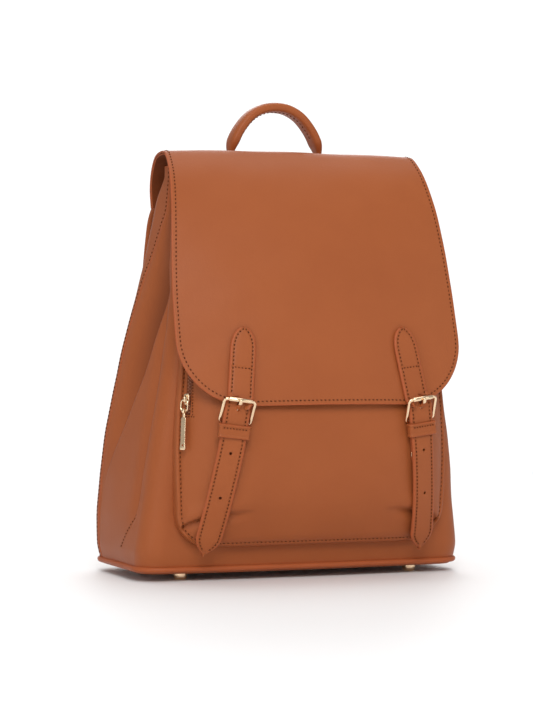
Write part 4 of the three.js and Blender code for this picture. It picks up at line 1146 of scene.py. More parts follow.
puller_low, puller_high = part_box("top_zip_puller")
pull_z = (puller_low[2] + puller_high[2]) / 2 / MM
pull = oblong(2.2, 0.2, 20.0)
top_puller = piece("top_zip_puller_bar",
    plate_mesh(pull, -0.65, 0.65, 0.3, (puller_low[0] / MM, zip_middle, pull_z),
                   top_axes, 0.8), gold, ["top_zip_puller"], sharp=45)
drilled(top_puller, (puller_low[0] / MM + 2.5, zip_middle, pull_z), (0, 0, 1), 1.15)
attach(top_puller, "top_puller")
print("the top zip has", len(coil.data.polygons), "faces in its teeth")

# %% [markdown]
# ## The front pocket
# The pocket is a shell that stands off the front: its rim is sewn flat, then the leather rises
# steeply and runs almost flat across the middle, as it does over a full pocket. The rise across is
# one minus the sixth power of the distance from the middle, and up the pocket it follows a short
# table. A tuck near each lower corner takes up the spare leather: an overhanging bulge above a
# sharp crease.

# %% The pocket's surface
POCKET = {"half": 108.0, "bottom": 27.0, "top": 195.0, "corner": 25.0, "thick": 1.8, "rim": 3.4}
# Height, depth of the side edge in front of the ridge, and the extra bulge in the middle.
POCKET_SHAPE = [
    [27, 44, 3.5], [36, 46, 9], [62, 49.5, 19], [95, 50, 26], [120, 49.5, 28.5], [134, 49.5, 27.5],
    [150, 49, 25], [165, 48.5, 21], [180, 47.5, 17], [195, 46.5, 11],
]
POCKET_FLATNESS = 6
EDGE_ROLL = 2.2


# Height, and how far the pocket's side bows out beyond its plain half width.
POCKET_BOW = [[27, 0.0], [60, 2.2], [100, 3.4], [130, 2.2], [155, 0], [195, -3.0]]


def pocket_half(z):
    """Half the pocket's width: full, bowed out a little, less a quarter circle at the corners."""
    up = np.clip(POCKET["corner"] - (z - POCKET["bottom"]), 0, None)
    bowed = POCKET["half"] + along_table(POCKET_BOW, z)[0]
    return bowed - POCKET["corner"] + np.sqrt(np.clip(POCKET["corner"] ** 2 - up ** 2, 0, None))


def tuck(x, z):
    """The fold at a lower corner: a crease line that rises inwards, and a swell above it."""
    inward = POCKET["half"] + 1 - np.abs(x)
    line = 40.5 + 14 * (1 - np.exp(-inward / 18))
    fade = smoothstep((inward - 1) / 5) * (1 - smoothstep((inward - 26) / 34))
    above = z - line
    crease = np.where(above > 0, np.exp(-(above / 1.6) ** 2), np.exp(-(above / 5.5) ** 2))
    swell = np.where(above > 0, np.exp(-((above - 6) / 7) ** 2), 0.0)
    return fade * (2.3 * swell - 3.8 * crease)


def pocket_front(x, z):
    """The pocket's outer face as a y value: the edge's depth, the bulge, the roll and the tucks."""
    edge, bulge = along_table(POCKET_SHAPE, z)
    half = pocket_half(z)
    inside = half - np.abs(x)
    share = np.clip(np.abs(x) / np.maximum(half - POCKET["rim"], 1), 0, 1)
    from_bottom = z - POCKET["bottom"]
    gap = np.minimum(inside, from_bottom)
    roll = EDGE_ROLL - np.sqrt(np.clip(EDGE_ROLL ** 2 - np.clip(EDGE_ROLL - gap, 0, None) ** 2, 0, None))
    sewn = 0.5 * np.exp(-((gap - 3.0) / 0.9) ** 2)
    lift = bulge * (1 - share ** POCKET_FLATNESS)
    return -(edge + lift + tuck(x, z)) + roll + sewn + ripple(x, z, 0.28, 21) * smoothstep(gap / 20)


def pocket_root(x, z):
    """Where the pocket's wall meets the front panel."""
    _, front_half, _, front = along_table(BODY, z)
    flat = front_half - FRONT_CORNER
    past = np.clip(np.abs(x) - flat, 0, None)
    bow = FRONT_BOW * np.clip(1 - (x / flat) ** 2, 0, None)
    bend = FRONT_CORNER - np.sqrt(np.clip(FRONT_CORNER ** 2 - past ** 2, 0, None))
    return front - bow + bend - 2 * GAP


def pocket_grid():
    """Rows from bottom to top and columns from side to side, with a wall column and row outside."""
    z = POCKET["bottom"] + (POCKET["top"] - POCKET["bottom"]) * crowd(150, 8, 1, 0.3)
    t = 2 * crowd(190, 7, 7, 0.16) - 1
    half = pocket_half(z)[:, None]
    x = t[None, :] * half
    zz = z[:, None] + 0 * x
    face = np.stack([x, pocket_front(x, zz), zz], axis=-1)
    walls = []
    for edge in (face[:, 0], face[:, -1]):
        root = pocket_root(edge[:, 0], edge[:, 2])
        rises = [np.column_stack([edge[:, 0], root + (edge[:, 1] - root) * k, edge[:, 2]]) for k in (0,
            0.35, 0.7)]
        walls.append(np.stack(rises, axis=1))
    middle = np.concatenate([walls[0], face, walls[1][:, ::-1]], axis=1)
    low_root = pocket_root(middle[0, :, 0], middle[0, :, 2])
    skirts = [np.column_stack([middle[0, :, 0], low_root + (middle[0, :, 1] - low_root) * k,
        middle[0, :, 2]])
              for k in (0, 0.35, 0.7)]
    return np.concatenate([np.stack(skirts), middle], axis=0), face


pocket_all, pocket_face = pocket_grid()
pocket_shell = piece("front_pocket_leather", sheet_mesh(pocket_all, POCKET["thick"], FORWARD), skin,
                     ["front_pocket"])
print("the pocket has", len(pocket_shell.data.polygons), "faces and bulges to y =",
    round(float(pocket_face[..., 1].min()), 1))

# %% [markdown]
# ## The pocket's zip
# The zip stands upright on the pocket's steep left flank. A slot is cut through the leather for
# it, and a woven tape lies in the slot. Its slider carries a ring, and the ring carries a flat
# bar, each free to swing.

# %% Place and cut the zip
ZIP = {"x": -104.3, "y": -54.6, "low": 128.0, "high": 182.0, "slot": 6.6, "turn": 55.0, "lean": 0.055,
    "rest": 139.5}


def zip_axes():
    """Rows: across the zip, into the bag, and up the zip."""
    turn, tilt = -math.radians(ZIP["turn"]), -math.atan(ZIP["lean"])
    spin = np.array([[math.cos(turn), -math.sin(turn), 0], [math.sin(turn), math.cos(turn), 0], [0, 0, 1]])
    lean = np.array([[1, 0, 0], [0, math.cos(tilt), -math.sin(tilt)], [0, math.sin(tilt), math.cos(tilt)]])
    return (spin @ lean).T


zip_row = zip_axes()
ACROSS, INTO, ALONG = zip_row


def on_zip(z):
    """The zip's line at a height."""
    return np.array([ZIP["x"], ZIP["y"], ZIP["low"]]) + ALONG * (z - ZIP["low"]) / ALONG[2]


def cutter(centre, half_sizes, axes):
    """A plain box for cutting."""
    signs = np.array([[x, y, z] for x in (-1, 1) for y in (-1, 1) for z in (-1, 1)], float)
    points = np.asarray(centre) + (signs * half_sizes) @ np.asarray(axes)
    faces = np.array([[0, 1, 3, 2], [4, 6, 7, 5], [0, 4, 5, 1], [2, 3, 7, 6], [0, 2, 6, 4], [1, 5, 7, 3]])
    return points, faces


def slotted(made, centre, half_sizes, axes):
    """The piece with a straight slot, cut by a Boolean."""
    points, faces = cutter(centre, half_sizes, axes)
    data = bpy.data.meshes.new("slot_tool")
    if volume_of(points - points.mean(axis=0), [faces]) < 0:
        faces = faces[:, ::-1]
    data.from_pydata(metres(points).tolist(), [], faces.tolist())
    tool = bpy.data.objects.new("slot_tool", data)
    bpy.context.scene.collection.objects.link(tool)
    bpy.context.view_layer.update()
    cut = made.modifiers.new("slot", "BOOLEAN")
    cut.operation, cut.object, cut.solver = "DIFFERENCE", tool, "MANIFOLD"
    result = bpy.data.meshes.new_from_object(made.evaluated_get(bpy.context.evaluated_depsgraph_get()))
    made.modifiers.clear()
    made.data = result
    made.data.set_sharp_from_angle(angle=math.radians(50))
    bpy.data.objects.remove(tool)
    return made


zip_middle_height = (ZIP["low"] + ZIP["high"]) / 2
zip_length = ZIP["high"] - ZIP["low"]
slotted(pocket_shell, on_zip(zip_middle_height) - INTO * 2, (ZIP["slot"] / 2 - 1.1, 6.5, zip_length / 2),
    zip_row)
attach(pocket_shell, "bag")


def zip_strip(offset, half_wide, into, low, high):
    """A flat strip beside the zip's line: offset across, at a depth into the bag."""
    u = np.linspace(-half_wide, half_wide, 10)[None, :, None]
    z = np.linspace(low, high, 60)[:, None, None]
    line = on_zip(ZIP["low"]) + ALONG * (z - ZIP["low"])
    return line + ACROSS * (u + offset) + INTO * into


tape = piece("pocket_zip_tape_woven",
    sheet_mesh(zip_strip(0, 2.9, 2.0, ZIP["low"] + 0.5, ZIP["high"] - 0.5), 0.6, -INTO),
             tape_cloth, ["pocket_zip_tape"])
teeth = piece("pocket_zip_teeth",
    zip_teeth(on_zip(ZIP["low"] + 1) + INTO * 1.1, on_zip(ZIP["high"] - 1) + INTO * 1.1,
              ACROSS, -INTO, pitch=1.25, reach=0.75, length=1.9, radius=0.45), coil_nylon,
              ["pocket_zip_coil"])
for made in (tape, teeth):
    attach(made, "bag")


print("the pocket zip's slot is", zip_length, "mm long")

# %% Slider, ring and bar
ring_half = {"x": 3.1, "z": 4.2}
HANG = 2 + 4.6 * 0.82 - 0.55 - 1.0
slider_axes = np.array([ACROSS, ALONG, -INTO])
pocket_slider = piece("pocket_zip_slider_body", slider_mesh(on_zip(ZIP["rest"]), slider_axes), gold,
                      ["pocket_zip_slider"], sharp=45)
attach(pocket_slider, "pocket_slider")
ring_centre = on_zip(ZIP["rest"]) - INTO * HANG - ALONG * (0.5 + ring_half["z"])
ring_shape = closed_path(rounded_rect(ring_half["x"], ring_half["z"], 2.6), 60)
ring_path = ring_centre + ring_shape[:, :1] * ACROSS + ring_shape[:, 1:] * ALONG
zip_ring = piece("pocket_zip_ring_wire", bar_mesh(ring_path, INTO, 0.62, 0.62, sides=14, loop=True), gold,
                 ["pocket_zip_ring"])
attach(zip_ring, "pocket_ring")
eye_centre = ring_centre - ALONG * ring_half["z"]
eye_angle = np.linspace(0, 2 * math.pi, 28, endpoint=False)
eye_path = eye_centre + 1.5 * (np.cos(eye_angle)[:, None] * ALONG + np.sin(eye_angle)[:, None] * INTO)
eye = bar_mesh(eye_path, ACROSS, 0.5, 1.15, power=3, sides=12, loop=True)
neck_path = eye_centre - np.outer(np.linspace(1.7, 6.0, 8), ALONG)
neck = bar_mesh(neck_path, -INTO, np.array([1.1, 1.2, 1.25, 1.2, 1.15, 1.2, 1.5, 1.8]), 0.75, power=3,
    sides=14)
blade_shape = closed_path(rounded_rect(2.1, 12.2, 0.8) + [0, -16.9], 64)
blade_shape[:, 0] *= 1 + 0.18 * smoothstep((-blade_shape[:, 1] - 23) / 4)
blade = plate_mesh(blade_shape, -0.8, 0.8, 0.3, eye_centre, slider_axes, 0.8)
pull_bar = piece("pocket_zip_puller_bar", blade, gold, [], sharp=40)
drilled(pull_bar, eye_centre - ALONG * 25.6, INTO, 0.75)
pull_eye = piece("pocket_zip_puller_eye", together(eye, neck), gold, ["pocket_zip_puller"],
    sharp=60)
for made in (pull_bar, pull_eye):
    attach(made, "pocket_puller")
print("the pocket zip runs from", ZIP["low"], "to", ZIP["high"], "mm")

# %% [markdown]
# ## Stitching on the pocket
# One row of stitches follows the rim down the left side, along the bottom and up the right side.
# The zip has a row of its own beside it, and a short row crosses at its foot.

# %% Sew the pocket
def pocket_line(inset, high=190.0, count=400):
    """A line inside the pocket's rim: down the left side, round the corners, up the right."""
    c = POCKET["corner"] - inset
    half, bottom = POCKET["half"] - inset, POCKET["bottom"] + inset
    down = np.column_stack([np.full(60, -half), np.linspace(high, bottom + c, 60)])
    turn = np.linspace(0, math.pi / 2, 30)[1:]
    left = np.column_stack([-half + c - c * np.cos(turn), bottom + c - c * np.sin(turn)])
    floor = np.column_stack([np.linspace(-half + c, half - c, 120)[1:], np.full(119, bottom)])
    right = np.column_stack([half - c + c * np.sin(turn), bottom + c - c * np.cos(turn)])
    up = np.column_stack([np.full(60, half), np.linspace(bottom + c, high, 60)])[1:]
    line = np.concatenate([down, left, floor, right, up])
    line[:, 0] += np.sign(line[:, 0]) * along_table(POCKET_BOW,
        line[:, 1])[0] * smoothstep((np.abs(line[:, 0]) - 70) / 35)
    length = np.concatenate([[0], np.cumsum(np.linalg.norm(np.diff(line, axis=0), axis=1))])
    stops = np.linspace(0, length[-1], count)
    return np.stack([np.interp(stops, length, line[:, k]) for k in range(2)], axis=-1)


def on_pocket(line):
    """Points and normals of the pocket's face above a line of (x, z)."""
    x, z = line[:, 0], line[:, 1]
    step = 0.4
    y = pocket_front(x, z)
    dx = (pocket_front(x + step, z) - pocket_front(x - step, z)) / (2 * step)
    dz = (pocket_front(x, z + step) - pocket_front(x, z - step)) / (2 * step)
    normal = unit(np.column_stack([dx, -np.ones(len(x)), dz]))
    return np.column_stack([x, y, z]), normal


rim_seam = stitch_mesh(*on_pocket(pocket_line(3.0)))
beside_zip_line = on_zip(ZIP["low"]) + ACROSS * 5.4 + np.outer(np.linspace(-1, 58, 60), ALONG)
beside_zip_xz = beside_zip_line[:, [0, 2]]
beside_zip_seam = stitch_mesh(*on_pocket(beside_zip_xz), pitch=2.2)
tick_start = beside_zip_xz[0]
tick_line = np.column_stack([np.linspace(tick_start[0] - 5, tick_start[0] + 1.5, 12),
    np.full(12, tick_start[1] - 0.5)])
tick_seam = stitch_mesh(*on_pocket(tick_line), pitch=2.0)
pocket_stitches = piece("front_pocket_stitching", together(rim_seam, beside_zip_seam, tick_seam), thread)
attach(pocket_stitches, "bag")
print("the pocket's stitching has", len(pocket_stitches.data.polygons), "faces")

# %% [markdown]
# ## The closure straps
# Each strap starts as a pointed tab sewn on the flap, runs down through the buckle and a keeper
# loop, and hangs free over the pocket, splayed and rolled a little outwards. Its middle line is a
# short list of points where it hangs free; on the flap it follows the flap's own surface. The
# strap is one sheet whose width comes from the distance to its pointed ends, with a groove under
# the stitches. It is only fixed in place: it neither turns with the flap nor lifts on its own.

# %% The strap's line and face
STRAP_WIDTH, STRAP_THICK, STRAP_HOLE = 20.0, 2.8, 1.5
TAB_TIP, TAB_SEAM = (64.5, 193.0), (68.6, 163.0)
STRAP_TOP, STRAP_FOOT, FREE_TOP = 193.4, 21.5, 139.0
FREE_LINE = [
    [19, 90, -46], [36, 87.6, -56.5], [62, 84, -67.6], [95, 79.2, -77.3], [110, 77.2, -80.2],
    [122, 75.8, -81.4], [139, 73.5, -83.2],
]
STRAP_ROLL = [[19, 6], [36, 11], [62, 15], [95, 15], [110, 11], [122, 7], [139, 5], [193, 4.5]]


def flap_front_at(x, z, depth):
    """The flap's front above a given x and z, found by halving the length thirty times."""
    low = np.full(np.shape(z), float(np.interp(0, -flap_line[:600, 0], flap_stops[:600])))
    high = np.full(np.shape(z), FLAP_LENGTH)
    for _ in range(30):
        mid = (low + high) / 2
        y_line, z_line = np.interp(mid, flap_stops, flap_line[:, 0]), np.interp(mid, flap_stops,
            flap_line[:, 1])
        point = flap_surface(mid, x / flap_half(y_line, z_line), depth)
        above = point[..., 2] > z
        low, high = np.where(above, mid, low), np.where(above, high, mid)
    return point


def strap_point(z, side):
    """The strap's middle line: on the flap above, free below, as x, y, z."""
    z = np.asarray(z, float)
    x_free, y_free = along_table(FREE_LINE, z)
    x_tab = TAB_SEAM[0] + (z - TAB_SEAM[1]) * (TAB_TIP[0] - TAB_SEAM[0]) / (TAB_TIP[1] - TAB_SEAM[1])
    tab = flap_front_at(x_tab, z, -(STRAP_THICK / 2 + GAP))
    free = z <= FREE_TOP
    return np.stack([side * np.where(free, x_free, x_tab), np.where(free, y_free, tab[..., 1]), z], axis=-1)


def strap_normal(z, side):
    """Outwards: square to the line and to x, then rolled by the table's angle."""
    upper, lower = strap_point(np.minimum(z + 3, 192), side), strap_point(np.maximum(z - 3, 19), side)
    tangent = unit(lower - upper)
    across = unit(np.array([1.0, 0, 0]) - tangent * tangent[..., :1])
    out = np.cross(across, tangent)
    out = np.where(out[..., 1:2] > 0, -out, out)
    roll = np.radians(along_table(STRAP_ROLL, z)[0])[..., None]
    return out * np.cos(roll) + across * side * np.sin(roll)


def strap_half(z):
    """Half the width: full, narrowing to a pointed arch at both ends."""
    tab = np.clip((STRAP_TOP - z) / 17, 0, 1)
    foot = np.clip((z - STRAP_FOOT) / 14, 0, 1)
    share = np.where(STRAP_TOP - z < z - STRAP_FOOT, np.sqrt(1 - (1 - tab) ** 2.1), 1 - (1 - foot) ** 1.9)
    return np.maximum(0.8, STRAP_WIDTH / 2 * share)


def strap_axes(z, side):
    """Origin and rows at a height: along the width, into the bag, up the strap."""
    z = np.array([float(z)])
    out = strap_normal(z, side)[0]
    up = unit(strap_point(z + 2, side) - strap_point(z - 2, side))[0]
    across = unit(np.cross(-out, up))
    return strap_point(z, side)[0], np.array([across, np.cross(up, across), up])


def strap_grid(side):
    """Top face = middle line + width * t + outward * (half the thickness + a low crown - groove)."""
    ends = crowd(260, 9, 9, 0.12)
    z = STRAP_FOOT + 0.25 + (STRAP_TOP - STRAP_FOOT - 0.5) * (1 - ends)
    inset = np.array([0, 0.35, 0.8, 1.4, 1.9, 2.4, 2.9, 3.5, 4.4, 5.6, 7.0, 8.5])
    t = np.concatenate([-(1 - inset / 10), (1 - inset / 10)[::-1]])
    half = strap_half(z)[:, None] - STRAP_THICK / 2 * 0.9
    half = np.maximum(half, 0.5)
    gap = np.minimum(half * (1 - np.abs(t)[None, :]), (np.minimum(STRAP_TOP - z, z - STRAP_FOOT))[:, None])
    groove = 0.28 * np.exp(-((gap - 1.5) / 0.65) ** 2)
    cross = 0.5 * np.exp(-((z[:, None] - 163.0) / 0.7) ** 2) + 0 * gap
    lift = STRAP_THICK / 2 - groove - cross + 0.25 * (1 - t[None, :] ** 2)
    point, out = strap_point(z, side), strap_normal(z, side)
    up = unit(np.gradient(point, axis=0))
    across = unit(np.cross(out, up))
    out = np.cross(up, across)
    return point[:, None] + across[:, None] * (half * t[None, :])[..., None] + out[:, None] * lift[...,
        None], out


print("a strap is", STRAP_WIDTH, "mm wide and", round(STRAP_TOP - STRAP_FOOT), "mm tall")

# %% Cut, punch and sew the straps
HEEL_Z = 122.5
HOLES = (136.6, 132.2, 99.8, 66.3)
for label, side in (("left", -1), ("right", 1)):
    grid, out = strap_grid(side)
    facing = out[:, None] + 0 * grid
    strap = piece(f"closure_strap_{label}_leather", sheet_mesh(grid, STRAP_THICK, facing), skin,
                  [f"closure_strap_{label}_top", f"closure_strap_{label}"])
    for z in HOLES:
        origin, axes = strap_axes(z, side)
        drilled(strap, origin, axes[1], STRAP_HOLE * (1.0 if z > 134 else 0.8))
    above = grid[:, grid.shape[1] // 2, 2] > STRAP_FOOT + 2.6
    sewn, sewn_facing = grid[above], facing[above]
    side_rows = [stitch_mesh(*edge_run(sewn, sewn_facing, 1.5, [edge]), pitch=2.9) for edge in ("left",
        "right_down")]
    origin, axes = strap_axes(163.0, side)
    cross_line = origin + np.outer(np.linspace(-6.6, 6.6, 12), axes[0]) - axes[1] * 1.2
    seam = piece(f"closure_strap_{label}_stitching", together(
        *side_rows, stitch_mesh(cross_line, np.tile(-axes[1], (12, 1)), pitch=2.2),
    ), thread)
    start, end = strap_point(np.array([164.5, 150.0]), side)
    for made in (strap, seam):
        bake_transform(made)
print("each strap has", len(strap.data.polygons), "faces and", len(HOLES), "holes")

# %% [markdown]
# ## Buckles
# A buckle is a wire frame tilted outwards from its heel bar, with a thicker roller on its front
# bar and a prong that hooks on the heel and lies over the roller. The frame and prong are bars
# along a line; the roller is a turned tube. Each part moves with its own body.

# %% Make the buckles
BUCKLE = {"inner": 21.4, "wire": 1.1, "height": 19.0, "tilt": 5.2, "roller": 1.75, "prong": 0.95}
HEEL_IN = STRAP_THICK / 2 + BUCKLE["wire"] + GAP
BUCKLE_LEAN = math.atan2(BUCKLE["tilt"] + HEEL_IN, BUCKLE["height"])


def buckle_axes(side):
    """The heel's place, and rows: along the heel, into the bag, up the tilted frame."""
    origin, (across, into, up) = strap_axes(HEEL_Z, side)
    origin = origin + into * HEEL_IN
    tilted_into = into * math.cos(BUCKLE_LEAN) + up * math.sin(BUCKLE_LEAN)
    tilted_up = up * math.cos(BUCKLE_LEAN) - into * math.sin(BUCKLE_LEAN)
    return origin, np.array([across, tilted_into, tilted_up])


def in_axes(local, origin, axes):
    """Local places (x, y, z) in the given axes, as places from the ridge."""
    return origin + np.asarray(local, float) @ axes


def tube_mesh(origin, axes, half_long, radius, hollow):
    """A short tube along the first axis, with rounded ends."""
    profile = [(hollow, -half_long), (radius - 0.25, -half_long), (radius, -half_long + 0.3),
               (radius, half_long - 0.3), (radius - 0.25, half_long), (hollow, half_long)]
    angle = np.linspace(0, 2 * math.pi, 28, endpoint=False)
    rings = np.array([np.column_stack([np.full(28, x), r * np.cos(angle), r * np.sin(angle)]) for r,
        x in profile])
    index = np.arange(rings.shape[0] * 28).reshape(-1, 28)
    index = np.concatenate([index, index[:, :1]], axis=1)
    index = np.concatenate([index, index[:1]], axis=0)
    return in_axes(rings.reshape(-1, 3), origin, axes), [grid_faces(index)], None


for label, side in (("left", -1), ("right", 1)):
    origin, axes = buckle_axes(side)
    half_x = BUCKLE["inner"] / 2 + BUCKLE["wire"]
    shape = closed_path(rounded_rect(half_x, BUCKLE["height"] / 2, 2.4), 140)
    path = in_axes(np.column_stack([shape[:, 0], np.zeros(140), shape[:, 1] + BUCKLE["height"] / 2]),
        origin, axes)
    wire = piece(f"buckle_frame_{label}_wire",
        bar_mesh(path, axes[1], BUCKLE["wire"] * 1.02, BUCKLE["wire"] * 0.98,
                 power=2.8, sides=18, loop=True), gold, [f"buckle_frame_{label}"])
    roller = piece(f"buckle_roller_{label}_tube",
        tube_mesh(in_axes([0, 0, BUCKLE["height"]], origin, axes), axes, 8.5,
                   BUCKLE["roller"], BUCKLE["wire"] + 0.15), gold, [f"buckle_roller_{label}"],
                   sharp=40)
    for made in (wire, roller):
        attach(made, f"buckle_{label}")
    lift = -(BUCKLE["roller"] + BUCKLE["prong"] + GAP)
    spine, _ = through([(0, -1.9, 0.6), (0, 0.6, 6.0), (0, 0.7, 11.0), (0, -1.4, 14.9), (0, lift, 17.8),
                        (0, lift * 0.97, BUCKLE["height"] + 2.2)], 40)
    taper = np.interp(np.linspace(0, 1, 40), [0, 0.85, 0.97, 1], [1, 1, 0.85, 0.45])
    tongue = bar_mesh(in_axes(spine, origin, axes), axes[0], BUCKLE["prong"] * taper,
        BUCKLE["prong"] * 1.5 * taper,
                      power=2.8, sides=16)
    loop_angle = np.linspace(0, 2 * math.pi, 26, endpoint=False)
    loop = in_axes(np.column_stack([0 * loop_angle, 1.9 * np.cos(loop_angle), 1.9 * np.sin(loop_angle)]),
        origin, axes)
    eye = bar_mesh(loop, axes[0], 0.5, 1.2, power=3, sides=12, loop=True)
    prong = piece(f"buckle_prong_{label}_tongue", together(tongue, eye), gold,
        [f"buckle_prong_{label}"])
    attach(prong, f"prong_{label}")
print("buckle frame leans", round(math.degrees(BUCKLE_LEAN), 1), "degrees from the strap")

# %% [markdown]
# ## Keeper loops, chape tabs, rivets and magnets
# The keeper is a band round the strap with a rolled edge above and below. The chape tab is the
# leather tongue behind it. A small gold rivet sits on it, and a hidden magnet in the pocket holds
# it down.

# %% Make the small strap parts
KEEPER = {"z": 116.0, "tall": 10.4, "wall": 1.2, "side": 0.8, "front": 0.7, "back": 0.6, "rear": 0.8}
CHAPE = {"top": 119.6, "bottom": 87.0, "half": 8.5, "thick": 1.2, "rivet_out": 6.6}
STUD_Z = 97.0


def keeper_mesh(side):
    """A band: its section runs up the outside, swelling at both rims, and down the inside."""
    origin, axes = strap_axes(KEEPER["z"], side)
    half_x = STRAP_WIDTH / 2 + KEEPER["side"] + KEEPER["wall"] / 2
    front = -STRAP_THICK / 2 - KEEPER["front"] - KEEPER["wall"] / 2
    back = STRAP_THICK / 2 + KEEPER["back"] + KEEPER["rear"] / 2
    ring = closed_path(rounded_rect(half_x, (back - front) / 2, 1.5), 120) + [0, (front + back) / 2]
    ahead = unit(np.roll(ring, -1, axis=0) - np.roll(ring, 1, axis=0))
    outward = np.column_stack([ahead[:, 1], -ahead[:, 0]])
    half, wall = KEEPER["tall"] / 2, KEEPER["wall"] / 2
    h = np.concatenate([np.linspace(-half, half, 25), np.linspace(half, -half, 12)[1:-1]])
    swell = 0.45 * np.exp(-((np.abs(h) - half + 1.1) / 0.8) ** 2) - 0.1 * np.exp(-((np.abs(h) - half + 2.9)
        / 0.5) ** 2)
    end = np.sqrt(np.clip(1 - np.clip((np.abs(h) - half + 0.6) / 0.6, 0, 1) ** 2, 0, 1))
    sign = np.concatenate([np.ones(25), -np.ones(10)])
    o = np.where(sign > 0, wall * (0.4 + 0.6 * end) + swell, -wall * (0.4 + 0.6 * end))
    rings = np.stack([
        ring[:, None, 0] + outward[:, None, 0] * o[None, :],
        ring[:, None, 1] + outward[:, None, 1] * o[None, :],
        np.broadcast_to(h, (120, len(h)))], axis=-1)
    local = in_axes(rings.reshape(-1, 3), origin, axes).reshape(rings.shape)
    edge = np.tile(np.where(np.abs(h) > half - 0.8, 1.0, 0.0), 120)
    points, faces, _ = ring_mesh(local, loop=True)
    return points, faces, edge


def chape_grid(side):
    """A tongue behind the strap that narrows to a round end."""
    inward = STRAP_THICK / 2 + KEEPER["back"] + KEEPER["rear"] + GAP
    z = CHAPE["bottom"] + 0.3 + (CHAPE["top"] - CHAPE["bottom"] - 0.3) * (1 - crowd(60, 1, 6, 0.3))
    k = np.clip((z - CHAPE["bottom"] + 0.4) / CHAPE["half"], 0, 1)
    half = np.maximum(CHAPE["half"] * np.sqrt(1 - (1 - k) ** 2) - 0.5, 0.5)
    point, out = strap_point(z, side), strap_normal(z, side)
    up = unit(np.gradient(point, axis=0))
    across = unit(np.cross(out, up))
    t = np.linspace(-1, 1, 21)
    return point[:, None] - out[:, None] * inward + across[:, None] * (half[:, None] * t)[..., None], out


def disc(radius, low, high, edge, origin, axes, sides=36):
    """A round plate in the given axes: face across the first and third, thickness along the second."""
    angle = np.linspace(0, 2 * math.pi, sides, endpoint=False)
    ring = radius * np.column_stack([np.cos(angle), np.sin(angle)])
    return plate_mesh(ring, low, high, edge, origin, np.array([axes[0], axes[2], -axes[1]]))


for label, side in (("left", -1), ("right", 1)):
    keeper = piece(f"keeper_loop_{label}_leather", keeper_mesh(side), trim,
        [f"keeper_loop_{label}"])
    grid, out = chape_grid(side)
    chape = piece(f"chape_tab_{label}_leather", sheet_mesh(grid, CHAPE["thick"], out[:, None] + 0 * grid),
        trim,
                  [f"chape_tab_{label}"])
    origin, axes = strap_axes(STUD_Z, side)
    inward = STRAP_THICK / 2 + KEEPER["back"] + KEEPER["rear"] + GAP + CHAPE["thick"] / 2
    rivet_place = origin + axes[0] * (-side * CHAPE["rivet_out"]) + axes[1] * (inward - CHAPE["thick"] / 2
        - GAP)
    rivet = piece(f"snap_rivet_{label}_cap", disc(3.0, 0.0, 0.7, 0.3, rivet_place, axes), gold,
                  [f"snap_rivet_{label}"], sharp=60)
    magnet = piece(f"snap_magnet_{label}_disc",
        disc(7.0, -1.0, 1.0, 0.3, origin + axes[1] * (inward + 8.2), axes),
                   steel, [f"snap_magnet_{label}"], sharp=60)
    keeper_origin, keeper_axes = strap_axes(KEEPER["z"], side)
    face = -(STRAP_THICK / 2 + KEEPER["front"] + KEEPER["wall"]) - 0.05
    band = in_axes(np.column_stack([np.linspace(-9.5, 9.5, 20), np.full(20, face), np.full(20, 2.2)]),
        keeper_origin, keeper_axes)
    band_seam = piece(f"keeper_loop_{label}_stitching",
        stitch_mesh(band, np.tile(-keeper_axes[1], (20, 1)), pitch=2.3),
                      thread)
    for made in (keeper, chape, rivet, band_seam):
        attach(made, f"strap_{label}")
    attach(magnet, "bag")
print("keeper loops have", len(keeper.data.polygons), "faces each")

# %% [markdown]
# ## The carry handle
# The handle is a padded roll of leather, bent into an arch. Its section is a soft oval, broader
# from front to back than it is thick, and it shrinks where it enters the patches at its two
# feet. A row of stitches runs along its inner side.

# %% Roll and sew the handle
HANDLE = {"half": 38.5, "y": 36.0, "base": 328.5, "top": 370.2, "radial": 7.8, "across": 18.0}
rise = HANDLE["top"] - HANDLE["base"]
half_arch = [(-1.0, 0.0), (-0.935, 0.28), (-0.79, 0.56), (-0.54, 0.83), (-0.27, 0.965), (0.0, 1.0)]
arch = half_arch + [(-x, z) for x, z in half_arch[-2::-1]]
arch_line, arch_stops = through([(x * HANDLE["half"], HANDLE["y"], HANDLE["base"] + z * rise) for x,
    z in arch], 141)
share = arch_stops / arch_stops[-1]
ends = smoothstep(np.minimum(share, 1 - share) / 0.13)
BACKWARD = np.array([0.0, 1.0, 0.0])
thick_half = HANDLE["radial"] / 2 * (0.45 + 0.55 * ends)
wide_half = HANDLE["across"] / 2 * (0.34 + 0.66 * ends)
handle = piece("carry_handle_roll",
    bar_mesh(arch_line, BACKWARD, thick_half, wide_half, power=3.2, sides=48), skin,
               ["carry_handle"])
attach(handle, "handle")
arch_tangent = unit(np.gradient(arch_line, axis=0))
inner = np.cross(arch_tangent, BACKWARD)
if np.sum(inner * ([0, HANDLE["y"], HANDLE["base"]] - arch_line)) < 0:
    inner = -inner
inner_line = arch_line + inner * (thick_half * 0.96)[:, None] + BACKWARD * -3.2
handle_seam = piece("carry_handle_stitching", stitch_mesh(inner_line[22:-22], inner[22:-22]), thread)
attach(handle_seam, "handle")

